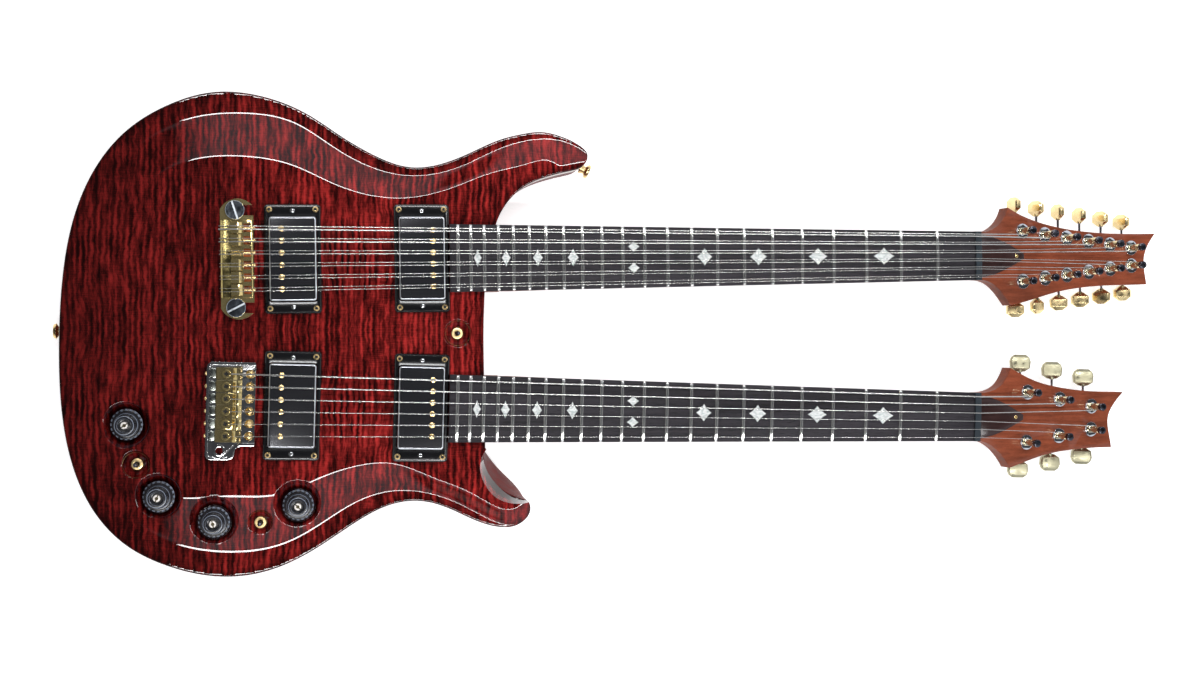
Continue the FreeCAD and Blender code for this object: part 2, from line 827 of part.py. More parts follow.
def fret(number):
    """A fret bent to the fingerboard's arc, with its crown above the wood."""
    x = fret_place(number) - fret_width / 2
    side = half_width(fret_place(number))
    low = board_top - camber(side)
    under = Part.Arc(vec(x, side, low), vec(x, 0, board_top), vec(x, -side, low)).toShape()
    inset = fret_height / 2
    high = board_top + fret_height - camber(side - inset)
    over = Part.Arc(vec(x, -side + inset, high), vec(x, 0, board_top + fret_height),
                    vec(x, side - inset, high)).toShape()
    wire = Part.Wire([under, Part.makeLine(vec(x, -side, low), vec(x, -side + inset, high)), over,
                      Part.makeLine(vec(x, side - inset, high), vec(x, side, low))])
    return Part.Face(wire).extrude(vec(fret_width, 0, 0))


def make_frets():
    frets = [fret(number + 1) for number in range(fret_count)]
    return solids_of([on_neck(piece, neck) for neck in NECKS for piece in frets])


def string_list(neck):
    """Each string as its radius and its places across the nut and the bridge, bass side first."""
    at_nut = string_share_places(string_spread_at_nut)
    at_bridge = string_share_places(string_spread_at_bridge)
    strings = []
    for course in six_places:
        if neck["strings"] == 1:
            strings.append((string_radii[course], at_nut[course], at_bridge[course]))
            continue
        for side, radius in ((1, octave_radii[course]), (-1, string_radii[course])):
            strings.append((radius, at_nut[course] + side * course_gap_at_nut / 2,
                            at_bridge[course] + side * course_gap_at_bridge / 2))
    return strings


def make_nut(neck):
    side = nut_width / 2
    low = neck_seat_height
    top = board_top + nut_rise
    high = top - camber(side)
    crown = Part.Arc(vec(0, side, high), vec(0, 0, top), vec(0, -side, high)).toShape()
    wire = Part.Wire([Part.makeLine(vec(0, side, low), vec(0, side, high)), crown,
                      Part.makeLine(vec(0, -side, high), vec(0, -side, low)),
                      Part.makeLine(vec(0, -side, low), vec(0, side, low))])
    nut = moved(Part.Face(wire).extrude(vec(nut_length, 0, 0)), scale_length)
    slots = []
    for radius, y, bridge_y in string_list(neck):
        room = radius + string_clearance
        floor = nut_string_height - camber(y) - room
        slots.append(box(vec(scale_length - nut_length, y - room, floor),
                         vec(head_start + nut_length, y + room, top + nut_length)))
    return on_neck(nut.cut(slots), neck)


def make_nuts():
    return solids_of([make_nut(neck) for neck in NECKS])


def tube_along(points, radius):
    """A round rod through the points, with mitred corners."""
    path = Part.makePolygon(points)
    circle = Part.Wire(Part.makeCircle(radius, points[0], points[1] - points[0]))
    return path.makePipeShell([circle], True, False, 1)


def head_point(x, y, z):
    """A point of a headstock's frame in its neck's frame."""
    slope = math.radians(head_angle)
    return vec(head_start + x * math.cos(slope) + z * math.sin(slope), y,
               neck_seat_height - x * math.sin(slope) + z * math.cos(slope))


def posts_in_string_order(neck):
    """Post places from the bass side string to the treble side string."""
    places = post_places(neck)
    bass = [place for place in places if place[2] > 0]
    treble = [place for place in places if place[2] < 0]
    return bass + treble[::-1]


def bridge_end(neck, radius, y):
    """Where a string runs behind its saddle, seen from the saddle backwards."""
    height = saddle_string_height - camber(y)
    if neck["strings"] == 1:
        return [vec(-lock_screw_back + lock_screw_radius + radius + string_clearance, y,
                    height - saddle_gap)]
    back = -bar_back - radius - string_clearance
    return [vec(back, y, bar_tail + radius + string_clearance), vec(back, y, bar_floor + bar_edge)]


def make_string(neck, radius, nut_y, bridge_y, post):
    x, y, side = post
    near = y - side * (post_radius + radius + string_clearance)
    points = [head_point(x, near, string_post_height),
              vec(head_start, nut_y, nut_string_height - camber(nut_y)),
              vec(0, bridge_y, saddle_string_height - camber(bridge_y))]
    points += bridge_end(neck, radius, bridge_y)
    return on_neck(tube_along(points, radius), neck)


def make_strings():
    found = []
    for neck in NECKS:
        for (radius, nut_y, bridge_y), post in zip(string_list(neck), posts_in_string_order(neck)):
            found.append(make_string(neck, radius, nut_y, bridge_y, post))
    return solids_of(found)


# Tuners

def make_post(neck, place):
    """A locking post, its cap and the foot that the worm wheel sits on."""
    x, y, side = place
    low = -head_thickness
    foot = cylinder(post_foot_radius, x, y, low - post_foot_length, low)
    shaft = cylinder(post_radius, x, y, low, post_height)
    cap = cylinder(post_cap_radius, x, y, post_height, post_height + post_cap_height)
    return on_head(solids_of([foot.fuse(shaft), cap]), neck)


def key_height():
    return -head_thickness - housing_depth / 2


def button_section(y, width, thickness):
    """An eight-sided section of a tuner button, square to Y."""
    a = width / 2
    b = thickness / 2
    c = b / 2
    corners = ((a, c), (a - c, b), (c - a, b), (-a, c), (-a, -c), (c - a, -b), (a - c, -b), (a, -c))
    return polygon([vec(x, y, z) for x, z in corners])


def make_key(neck, place, turn):
    """The worm's shaft, its collar and the button outside the headstock."""
    x, y, side = place
    length, width = neck["button"]
    start = post_foot_radius
    shaft = Part.makeCylinder(key_radius, key_reach - start, vec(0, start, 0), Y_AXIS)
    collar = Part.makeCylinder(key_neck_radius, key_neck_length, vec(0, key_reach - key_neck_length, 0),
                               Y_AXIS)
    button = Part.makeLoft([button_section(key_reach + length * run, width * wide,
                                           button_thickness * thick)
                            for run, wide, thick in neck["button_shares"]], True, True)
    key = shaft.fuse([collar, button])
    key = rotated(rotated(key, Y_AXIS, turn), Z_AXIS, 90 - 90 * side)
    return on_head(moved(key, x + key_offset, y, key_height()), neck)


def make_tuner_housing(neck, place):
    """The sealed gear case behind the headstock and the threaded bushing from its front."""
    x, y, side = place
    low = -head_thickness - housing_depth
    centre = key_offset / 2
    case = box(vec(x + centre - housing_length / 2, y - housing_width / 2, low),
               vec(x + centre + housing_length / 2, y + housing_width / 2, -head_thickness))
    edges = [edge for edge in case.Edges if edge.BoundBox.ZMax < low + housing_depth / 2]
    case = case.makeChamfer(housing_chamfer, edges)
    foot_room = cylinder(post_foot_radius + running_clearance, x, y,
                         -head_thickness - post_foot_length - running_clearance, -head_thickness)
    bore = Part.makeCylinder(key_radius + running_clearance, housing_width,
                             vec(x + key_offset, y, key_height()), vec(0, side, 0))
    case = case.cut([foot_room, bore])
    sleeve = cylinder(bushing_radius, x, y, -head_thickness, 0)
    collar = Part.makeCone(collar_radius, collar_radius - collar_height / 2, collar_height,
                           vec(x, y, 0), Z_AXIS)
    hole = cylinder(post_radius + running_clearance, x, y, -head_thickness, collar_height)
    return on_head(solids_of([case, sleeve.fuse(collar).cut(hole)]), neck)


def make_tuner_housings():
    return solids_of([make_tuner_housing(neck, place) for neck in NECKS
                      for place in post_places(neck)])


# Pickups

def make_pickup_cover(place, neck):
    length = cover_length / 2
    width = cover_width / 2
    cover = box(vec(place - length, -width, rout_floor), vec(place + length, width, cover_top))
    upright = [edge for edge in cover.Edges if edge.BoundBox.ZLength > cover_length / 2]
    cover = cover.makeFillet(cover_corner, upright)
    top = [edge for edge in cover.Edges if edge.BoundBox.ZMin > cover_top - cover_corner]
    return on_neck(cover.makeChamfer(cover_edge, top), neck)


def rounded_plate(length, width, corner, low, high):
    plate = box(vec(-length / 2, -width / 2, low), vec(length / 2, width / 2, high))
    upright = [edge for edge in plate.Edges if edge.BoundBox.ZLength > (high - low) / 2]
    return plate.makeFillet(corner, upright)


def make_pickup_ring(place, neck):
    """The black frame that carries a pickup, chamfered along its outer edge."""
    ring = rounded_plate(ring_length, ring_width, ring_corner, crown_height,
                         crown_height + ring_height)
    top = [edge for edge in ring.Edges if edge.BoundBox.ZMin > crown_height + ring_height / 2]
    ring = ring.makeChamfer(ring_chamfer, top)
    hole = rounded_plate(cover_length + 2 * ring_gap, cover_width + 2 * ring_gap, cover_corner, 0,
                         board_top)
    return on_neck(moved(ring.cut(hole), place), neck)


def pickups():
    return [(place, neck) for neck in NECKS for place in (pickup_place_bridge, pickup_place_neck)]


def pole_row(place, neck):
    """The side of a pickup that shows its adjustable poles."""
    side = -1 if place == pickup_place_bridge else 1
    return place + side * pole_setback


def spread_at(x):
    share = x / scale_length
    return string_spread_at_bridge + (string_spread_at_nut - string_spread_at_bridge) * share


# Bridges

def make_wraparound_bridge():
    """The gold bar, its two slotted ears and six intonated saddles."""
    side = bar_width / 2
    profile = polygon([vec(x, -side, z) for x, z in (
        (-bar_back, bar_floor + bar_edge), (-bar_back, bar_tail - bar_edge),
        (-bar_back + bar_edge, bar_tail), (-saddle_back, bar_tail), (-saddle_back, saddle_floor),
        (saddle_front, saddle_floor), (saddle_front, bar_deck), (bar_front - bar_edge, bar_deck),
        (bar_front, bar_deck - bar_edge), (bar_front, bar_floor + bar_edge),
        (bar_front - bar_edge, bar_floor), (bar_edge - bar_back, bar_floor))])
    bar = Part.Face(profile).extrude(vec(0, bar_width, 0))
    low = bar_floor + bar_edge / 2
    ear = cylinder(ear_radius, 0, ear_centre, low, low + ear_thickness)
    limit = box(vec(-bar_back, side - bar_edge, low), vec(bar_front, stud_spread, low + ear_thickness))
    slot = box(vec(-stud_setback, stud_spread / 2 - stud_slot_radius, low),
               vec(stud_spread, stud_spread / 2 + stud_slot_radius, low + ear_thickness))
    hole = cylinder(stud_slot_radius, -stud_setback, stud_spread / 2, low, low + ear_thickness)
    ear = ear.common(limit).cut([slot, hole])
    bridge = fused([bar, ear, ear.mirror(vec(), Y_AXIS)])
    saddles = [make_saddle(y) for y in string_share_places(string_spread_at_bridge)]
    return on_neck(solids_of([bridge] + saddles), TWELVE)


def make_saddle(y):
    """A small wedge that carries one pair of strings."""
    width = string_pitch_at_bridge - saddle_gap
    reach = course_gap_at_bridge / 2
    lowest = max(camber(y + reach), camber(y - reach))
    top = saddle_string_height - lowest - max(string_radii) - string_clearance
    wire = polygon([vec(x, y - width / 2, z) for x, z in (
        (-saddle_back, saddle_floor), (saddle_front, saddle_floor),
        (saddle_front, (saddle_floor + top) / 2), (saddle_ridge, top), (-saddle_ridge, top),
        (-saddle_back, top - saddle_gap))])
    return Part.Face(wire).extrude(vec(0, width, 0))


def corner_arc(x, y, radius, start):
    """Points on a quarter of a circle that starts at an angle and turns clockwise or back."""
    first, last = start
    steps = range(plate_corner_steps + 1)
    turns = [math.radians(first + (last - first) * step / plate_corner_steps) for step in steps]
    return [(x + radius * math.cos(turn), y + radius * math.sin(turn)) for turn in turns]


def plate_wire(inset, height):
    """The tremolo plate's outline with its lobe round the arm's socket."""
    corner = plate_corner - inset
    sweep = (plate_arm_edge - plate_treble_edge) / 2
    left = -plate_back + plate_corner
    front = plate_front + inset
    points = [(front, plate_bass_edge - inset), (front, -plate_treble_edge + inset)]
    points += corner_arc(sweep - plate_arm_front, -plate_treble_edge - sweep, sweep + inset,
                         (90, 180))
    points += corner_arc(-plate_arm_front - sweep, -plate_arm_edge + sweep, sweep - inset,
                         (0, -90))
    points += corner_arc(left, -plate_arm_edge + plate_corner, corner, (270, 180))
    points += corner_arc(left, plate_bass_edge - plate_corner, corner, (180, 90))
    return [vec(x, y, height) for x, y in points]


def make_tremolo_unit():
    """The bent plate with its raised rims, and the inertia block below it."""
    base = prism(polygon(plate_wire(0, plate_floor)), plate_thickness + plate_rim_height)
    well = prism(polygon(plate_wire(plate_rim_width, plate_floor + plate_thickness)),
                 plate_rim_height)
    cuts = [well]
    for y in string_share_places(string_spread_at_bridge):
        cuts.append(cylinder(pivot_hole_radius, pivot_place, y, plate_floor, board_top))
    cuts.append(cylinder(arm_hole_radius, -arm_hole_back, -arm_hole_side, -overrun, board_top + overrun))
    boss = cylinder(arm_boss_radius, -arm_hole_back, -arm_hole_side, plate_floor,
                    plate_floor + plate_thickness + plate_rim_height / 2)
    plate = base.cut(well).fuse(boss).cut(cuts[1:])
    block = box(vec(-block_back, -block_width / 2, block_floor),
                vec(-block_front, block_width / 2, plate_floor))
    return on_neck(solids_of([plate, block]), SIX)


def make_tremolo_saddle(y):
    """A brass saddle with its string lock and its ridge under the string."""
    low = plate_floor + plate_thickness
    width = bent_saddle_width
    top = saddle_string_height - camber(y) - max(string_radii) - string_clearance
    wire = polygon([vec(x, y - width / 2, z) for x, z in (
        (-bent_saddle_back, low), (bent_saddle_front, low), (bent_saddle_front, bent_saddle_deck),
        (saddle_ridge, top), (-saddle_ridge, top), (-bent_saddle_front, bent_saddle_deck - saddle_gap),
        (-bent_saddle_back, bent_saddle_deck - saddle_gap))])
    saddle = Part.Face(wire).extrude(vec(0, width, 0))
    lock = cylinder(lock_screw_radius, -lock_screw_back, y, low, lock_screw_top)
    return saddle.fuse(lock)


def make_tremolo_saddles():
    return solids_of([on_neck(make_tremolo_saddle(y), SIX)
                      for y in string_share_places(string_spread_at_bridge)])


def spring_places():
    return (-spring_pitch, 0, spring_pitch)


def make_tremolo_springs():
    """Three close-wound pull springs, each as the tube that its turns fill."""
    start = spring_gap - block_front
    length = claw_place - spring_gap - start
    springs = []
    for y in spring_places():
        outer = Part.makeCylinder(spring_radius, length, vec(start, y, spring_height), X_AXIS)
        inner = Part.makeCylinder(spring_bore_radius, length, vec(start, y, spring_height), X_AXIS)
        springs.append(on_neck(outer.cut(inner), SIX))
    return solids_of(springs)


# Controls

def knob_ring(radius, height):
    """A many-sided ring, as the ribs round a knob."""
    return polygon([vec(radius * math.cos(math.tau * step / knob_flutes),
                        radius * math.sin(math.tau * step / knob_flutes), height)
                    for step in range(knob_flutes)])


def make_knob(pair):
    """A stepped black knob and the slotted shaft that it turns."""
    x, y = shared(pair)
    top = knob_floor + knob_height
    shoulder = knob_floor + knob_shoulder_height
    skirt = Part.makeLoft([knob_ring(knob_skirt_radius, knob_floor),
                           knob_ring(knob_shoulder_radius, shoulder)], True, True)
    neck = Part.makeLoft([knob_ring(knob_neck_radius, shoulder), knob_ring(knob_top_radius, top)],
                         True, True)
    knob = skirt.fuse(neck)
    knob = knob.cut([cylinder(knob_hollow_radius, 0, 0, knob_floor, knob_floor + knob_hollow_height),
                     cylinder(pot_shaft_radius, 0, 0, knob_floor, top),
                     cylinder(knob_well_radius, 0, 0, top - knob_well_depth, top)])
    shaft = cylinder(pot_shaft_radius, 0, 0, shaft_foot, top - shaft_setback)
    slot = box(vec(-pot_shaft_radius, -pot_slot_width / 2, top - knob_well_depth),
               vec(pot_shaft_radius, pot_slot_width / 2, top))
    return moved(solids_of([knob, shaft.cut(slot)]), x, y)


def make_lever(pair):
    """A toggle's bat lever on its ball."""
    x, y = shared(pair)
    ball = Part.makeSphere(lever_ball_radius, vec(0, 0, lever_pivot))
    stem = cylinder(lever_radius, 0, 0, lever_pivot, lever_pivot + lever_length)
    tip = Part.makeSphere(lever_tip_radius, vec(0, 0, lever_pivot + lever_length))
    return moved(fused([ball, stem, tip]), x, y)


def make_potentiometer(pair):
    x, y = shared(pair)
    can = cylinder(pot_radius, x, y, control_ceiling - pot_height, control_ceiling)
    bushing = cylinder(pot_bushing_radius, x, y, control_ceiling,
                       knob_floor + knob_hollow_height / 2)
    room = cylinder(pot_shaft_radius + running_clearance, x, y, shaft_foot - running_clearance,
                    board_top)
    return can.fuse(bushing).cut(room)


def make_switch(pair):
    x, y = shared(pair)
    body = box(vec(x - switch_body_length / 2, y - switch_body_width / 2,
                   control_ceiling - switch_body_height),
               vec(x + switch_body_length / 2, y + switch_body_width / 2, control_ceiling))
    bushing = cylinder(switch_bushing_radius, x, y, control_ceiling, lever_pivot)
    room = Part.makeSphere(lever_ball_radius + lever_clearance, vec(x, y, lever_pivot))
    return body.fuse(bushing).cut(room)


def make_switch_nut(pair):
    x, y = shared(pair)
    nut = cylinder(switch_nut_radius, x, y, dish_floor, dish_floor + switch_nut_height)
    return nut.cut(cylinder(switch_bushing_radius, x, y, dish_floor, board_top))


def make_jack():
    """The jack's barrel and the plate that holds it in the body's side."""
    barrel = Part.makeCylinder(jack_barrel_radius, jack_barrel_length,
                               vec(0, 0, -jack_barrel_length), Z_AXIS)
    plate = box(vec(-jack_plate_width / 2, -jack_plate_length / 2, -jack_plate_thickness),
                vec(jack_plate_width / 2, jack_plate_length / 2, 0))
    bore = Part.makeCylinder(jack_bore_radius, jack_barrel_length + overrun,
                             vec(0, 0, -jack_barrel_length), Z_AXIS)
    hole = Part.makeCylinder(jack_barrel_radius, jack_plate_thickness, vec(0, 0, -jack_plate_thickness),
                             Z_AXIS)
    return [at_side(shape, jack_place_shares, jack_angle, jack_height)
            for shape in (barrel.cut(bore), plate.cut(hole))]


def make_electrics():
    pieces = [make_potentiometer(pair) for pair in knob_place_shares]
    for pair in toggle_place_shares:
        pieces += [make_switch(pair), make_switch_nut(pair)]
    return solids_of(pieces + make_jack())


def make_rod_cover(neck):
    """The tapered plate over the end of the truss rod."""
    upper = [vec(x * rod_cover_length, y * rod_cover_width, 0) for x, y in rod_cover_shares]
    lower = [vec(point.x, -point.y, 0) for point in upper[::-1]]
    wire = Part.Wire([spline(upper), Part.makeLine(upper[-1], lower[0]), spline(lower),
                      Part.makeLine(lower[-1], upper[0])])
    return on_head(prism(wire, rod_cover_thickness), neck)


def make_cover_plates():
    return solids_of(back_covers(0) + [make_rod_cover(neck) for neck in NECKS])


# Screws, studs, rods and buttons

def make_stud(x, y):
    """A large slotted bridge stud with the flange under the bridge's ear."""
    ear_top = bar_floor + bar_edge / 2 + ear_thickness
    flange_top = bar_floor + bar_edge / 2
    flange = cylinder(stud_flange_radius, x, y, crown_height, flange_top)
    post = cylinder(stud_radius, x, y, crown_height - stud_depth, ear_top)
    head = cylinder(stud_head_radius, x, y, ear_top, ear_top + stud_head_height)
    slot = box(vec(x - stud_head_radius, y - stud_slot_width / 2, ear_top + stud_head_height / 2),
               vec(x + stud_head_radius, y + stud_slot_width / 2, ear_top + stud_head_height))
    return on_neck(flange.fuse([post, head]).cut(slot), TWELVE)


def make_pivot_screw(y):
    """A tremolo pivot screw: its shank, and its head clear of the plate."""
    head_floor = plate_floor + plate_thickness + pivot_head_gap
    shank = cylinder(pivot_screw_radius, pivot_place, y, crown_height - pivot_screw_depth, head_floor)
    head = Part.makeCone(pivot_head_radius, pivot_head_radius / 2, pivot_head_height,
                         vec(pivot_place, y, head_floor), Z_AXIS)
    return on_neck(shank.fuse(head), SIX)


def make_screw_head(x, y, floor, neck):
    head = Part.makeCone(screw_head_radius, screw_head_radius / 2, screw_head_height,
                         vec(x, y, floor), Z_AXIS)
    return on_neck(head, neck)


def make_ring_screws(place, neck):
    top = crown_height + ring_height
    return [make_screw_head(place + side_x * (ring_length / 2 - screw_inset),
                            side_y * (ring_width / 2 - screw_inset), top, neck)
            for side_x in (1, -1) for side_y in (1, -1)]


def make_poles(place, neck):
    x = pole_row(place, neck)
    return [on_neck(cylinder(pole_radius, x, y, cover_top, cover_top + pole_height), neck)
            for y in string_share_places(spread_at(x))]


def make_strap_button(shares, angle):
    """A turned strap button on the body's side."""
    profile = ((0, 0), (strap_base_radius, 0), (strap_waist_radius, strap_length / 2),
               (strap_flange_radius, strap_length * strap_lip_share),
               (strap_flange_radius * strap_tip_share, strap_length),
               (0, strap_length))
    return at_side(turned(profile), shares, angle, strap_height)


def make_claw():
    """The plate that holds the tremolo springs, and its two long screws."""
    low = spring_height - claw_height / 2
    plate = box(vec(claw_place, -claw_width / 2, low),
                vec(claw_place + claw_thickness, claw_width / 2, low + claw_height))
    pieces = [plate]
    for side in (1, -1):
        pieces.append(Part.makeCylinder(claw_screw_radius, spring_cavity_front - claw_place
                                        - claw_thickness,
                                        vec(claw_place + claw_thickness, side * claw_screw_spacing / 2,
                                            spring_height), X_AXIS))
    return [on_neck(piece, SIX) for piece in pieces]


def make_screws_studs_and_rods():
    pieces = [on_neck(rod_cutter(), neck) for neck in NECKS]
    pieces += [make_stud(x, y) for x, y in stud_places()]
    pieces += [make_pivot_screw(y) for y in string_share_places(string_spread_at_bridge)]
    for place, neck in pickups():
        pieces += make_ring_screws(place, neck)
        pieces += make_poles(place, neck)
    pieces += make_claw()
    pieces.append(make_strap_button(strap_tail_shares, strap_angle_tail))
    pieces.append(make_strap_button(strap_horn_shares, strap_angle_horn))
    return solids_of(pieces)


def save(shape, name):
    shape.exportStep("parts/" + name + ".step")


def main():
    os.makedirs("parts", exist_ok=True)
    save(make_body_back(), "body_back")
    save(make_body_top(), "body_top")
    save(solids_of([make_neck_wood(neck) for neck in NECKS]), "necks")
    save(make_fingerboards(), "fingerboards")
    save(make_frets(), "frets")
    save(make_nuts(), "nuts")
    save(make_strings(), "strings")
    save(make_tuner_housings(), "tuner_housings")
    for neck, name in ((TWELVE, "twelve"), (SIX, "six")):
        for number, (place, turn) in enumerate(zip(post_places(neck), neck["turns"])):
            save(make_post(neck, place), f"post_{name}_{number + 1}")
            save(make_key(neck, place, turn), f"key_{name}_{number + 1}")
    save(solids_of([make_pickup_cover(place, neck) for place, neck in pickups()]), "pickup_covers")
    save(solids_of([make_pickup_ring(place, neck) for place, neck in pickups()]), "pickup_rings")
    save(make_wraparound_bridge(), "wraparound_bridge")
    save(make_tremolo_unit(), "tremolo_unit")
    save(make_tremolo_saddles(), "tremolo_saddles")
    save(make_tremolo_springs(), "tremolo_springs")
    for number, pair in enumerate(knob_place_shares):
        save(make_knob(pair), f"knob_{number + 1}")
    for number, pair in enumerate(toggle_place_shares):
        save(make_lever(pair), f"toggle_lever_{number + 1}")
    save(make_electrics(), "electrics")
    save(make_cover_plates(), "cover_plates")
    save(make_screws_studs_and_rods(), "screws_studs_and_rods")


if __name__ == "__main__":
    main()
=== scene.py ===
import json
import math

import bmesh
import bpy
import numpy as np
from bpy.props import FloatProperty, FloatVectorProperty, PointerProperty
from mathutils import Matrix, Vector
from mathutils.bvhtree import BVHTree
from mathutils.kdtree import KDTree


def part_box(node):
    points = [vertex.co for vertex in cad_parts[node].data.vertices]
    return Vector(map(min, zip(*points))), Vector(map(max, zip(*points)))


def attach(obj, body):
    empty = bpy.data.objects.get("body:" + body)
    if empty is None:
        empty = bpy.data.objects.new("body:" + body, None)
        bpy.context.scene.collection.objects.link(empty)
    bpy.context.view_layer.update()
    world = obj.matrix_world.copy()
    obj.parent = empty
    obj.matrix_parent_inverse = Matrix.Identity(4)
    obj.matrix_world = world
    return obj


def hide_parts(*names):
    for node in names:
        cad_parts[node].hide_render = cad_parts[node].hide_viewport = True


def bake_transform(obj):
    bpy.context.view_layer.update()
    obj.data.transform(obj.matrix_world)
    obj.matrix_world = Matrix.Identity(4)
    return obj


bl_info = {
    "name": "Double-neck guitar",
    "version": (1, 0, 0),
    "blender": (4, 5, 0),
    "location": "View3D > Sidebar > Guitar",
    "description": "Dresses the packed guitar with its woods, metals, inlays and studio",
    "category": "Add Mesh",
}

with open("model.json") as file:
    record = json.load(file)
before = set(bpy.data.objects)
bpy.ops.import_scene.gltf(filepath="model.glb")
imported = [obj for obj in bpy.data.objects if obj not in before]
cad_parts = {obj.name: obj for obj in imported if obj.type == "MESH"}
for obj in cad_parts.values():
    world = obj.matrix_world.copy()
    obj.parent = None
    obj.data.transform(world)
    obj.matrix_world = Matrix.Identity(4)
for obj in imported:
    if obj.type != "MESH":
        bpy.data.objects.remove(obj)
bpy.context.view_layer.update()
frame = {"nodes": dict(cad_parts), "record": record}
NODE_BODY = {node: body for body, nodes in frame["record"]["behaviour"]["bodies"].items()
             for node in nodes}
MM = 0.001

# The body's curves seen from the front, in thousandths of its length and width
BODY_SIZE = (430 * MM, 397 * MM)
RIM_SHARES = (
    (491, 236), (502, 262), (530, 300), (560, 322), (593, 336), (633, 348), (665, 363),
    (673, 385), (653, 408), (619, 424), (581, 432), (544, 427), (500, 414), (440, 384),
    (381, 358), (323, 350), (260, 370), (195, 408), (121, 458), (37, 490), (-47, 495),
    (-130, 467), (-212, 407), (-270, 322), (-305, 222), (-323, 101), (-328, -38), (-321, -176),
    (-300, -282), (-260, -373), (-200, -441), (-126, -482), (-28, -505), (56, -495), (140, -455),
    (221, -398), (284, -363), (342, -354), (400, -370), (456, -398), (502, -412), (537, -408),
    (560, -383), (558, -358),
)
SCOOP_SHARES = ((558, -358), (537, -327), (509, -297), (486, -267), (471, -241))
WAIST_SHARES = ((471, -241), (468, -90), (468, 75), (474, 156), (491, 236))
SHOULDER_SHARES = (
    (477, -241), (463, -264), (460, -292), (470, -322), (488, -346), (514, -359), (558, -358),
)
FOOT_SHARES = (
    (535, 0), (535, 139), (540, 232), (581, 297), (647, 338), (672, 370), (642, 395), (581, 406),
    (502, 385), (409, 335), (323, 317), (242, 338), (174, 378), (98, 428), (9, 443), (-93, 428),
    (-186, 370), (-249, 267), (-274, 113), (-281, -50), (-270, -202), (-228, -327), (-144, -416),
    (-28, -453), (84, -438), (172, -385), (235, -343), (302, -324), (377, -332), (456, -370),
    (540, -398), (609, -340), (558, -202),
)
CROWN_SHARES = (
    (516, 0), (512, 139), (512, 232), (540, 282), (572, 322), (605, 355), (591, 368), (549, 360),
    (479, 338), (400, 305), (323, 282), (247, 282), (170, 305), (95, 338), (9, 353), (-81, 345),
    (-163, 297), (-216, 202), (-235, 76), (-237, -50), (-228, -176), (-191, -277), (-116, -328),
    (-23, -321), (70, -322), (144, -294), (214, -272), (291, -269), (367, -303), (447, -340),
    (521, -373), (567, -315), (535, -202),
)
KNOB_SHARES = ((-205, -190), (-146, -338), (-44, -392), (113, -359))
TOGGLE_SHARES = ((-186, -271), (42, -394), (416, 0))
DISH_SLOPES = (0.47, 0.55, 0.86, 0.75)

# Heights from the back face, and places along the strings from the bridge line
BACK_TOP = 32 * MM
RIM_TOP = 44 * MM
CROWN_TOP = 50.2 * MM
NECK_SEAT = 53 * MM
BOARD_TOP = 59 * MM
DISH_FLOOR = 41 * MM
SCALE = 635 * MM
BOARD_ARC = 254 * MM
HEAD_START = 640.5 * MM
PICKUP_PLACES = (43.5 * MM, 148.5 * MM)
NECK_OFFSET = 59.3 * MM
NECK_TURN = math.radians(1.08)
HEAD_TILT = math.radians(9)
TWELVE, SIX = 1, -1
STRING_SPREAD = 50.5 * MM
RING_SCREWS = (18.55 * MM, 40.55 * MM)
STUD_PLACE = (-2.0 * MM, 39.7 * MM)
# Each row of tuners: its neck, the buttons' finish and length, and each button's turn at rest
TUNERS = {
    "twelve": (TWELVE, "button_gold", 11.5 * MM,
               (30, -11, 22, 35, -20, 57, 30, -40, -22, -35, 10, -64)),
    "six": (SIX, "button_pale_gold", 13 * MM, (-34, 0, -29, 0, -30, -22)),
}

# The camera and the strip lights
CAMERA_PLACE = (78.7 * MM, -2.8 * MM, 1303.5 * MM)
CAMERA_TILT, CAMERA_ROLL = math.radians(10), math.radians(0.31)
STRIP_PLACE = (0.66, 0.62, 1.72)
STRIP_SIZE = (1.90, 0.085)
STRIP_AIM = 0.03

# Meshing: the distance within which points merge, and the top's grid, floor and edge
WELD = 0.002 * MM
TOP_CELL = 1.8 * MM
TOP_FLOOR = 25 * MM
TOP_EDGE = 1.3 * MM
OPEN_END = 75 * MM


def number_setting(name, description, default, unit="NONE"):
    return FloatProperty(name=name, description=description, default=default, unit=unit)


def colour_setting(name, description, default):
    return FloatVectorProperty(name=name, description=description, default=default, size=3,
                               subtype="COLOR")


class StudioSettings(bpy.types.PropertyGroup):
    lens: number_setting("Lens", "Focal length of the camera", 44.88, "CAMERA")
    wall_light: number_setting("Walls", "Brightness of the walls beside the guitar", 0.72)
    ceiling_light: number_setting("Ceiling", "Brightness of the studio ceiling", 0.048)
    strip_power: number_setting("Strip lights", "Power of the two strip lights", 16.0, "POWER")
    floor_colour: colour_setting("Floor", "Colour of the floor", (0.92, 0.92, 0.92))


class WoodSettings(bpy.types.PropertyGroup):
    flame_dark: colour_setting("Flame, dark", "Dark stripes of the top", (0.020, 0.0011, 0.0009))
    flame_light: colour_setting("Flame, bright", "Bright stripes of the top", (0.31, 0.019, 0.017))
    flame_pitch: number_setting("Stripe spacing", "Distance between two stripes", 4.5 * MM,
                                "LENGTH")
    burst_width: number_setting("Burst", "Width of the dark band at the edge", 7 * MM, "LENGTH")
    rim_colour: colour_setting("Rim", "Colour of the maple's bare edge", (0.36, 0.17, 0.075))
    neck_colour: colour_setting("Neck", "Colour of the neck wood", (0.235, 0.054, 0.023))
    back_colour: colour_setting("Back", "Colour of the body's back", (0.13, 0.012, 0.010))
    board_colour: colour_setting("Fingerboard", "Colour of the rosewood", (0.031, 0.028, 0.033))


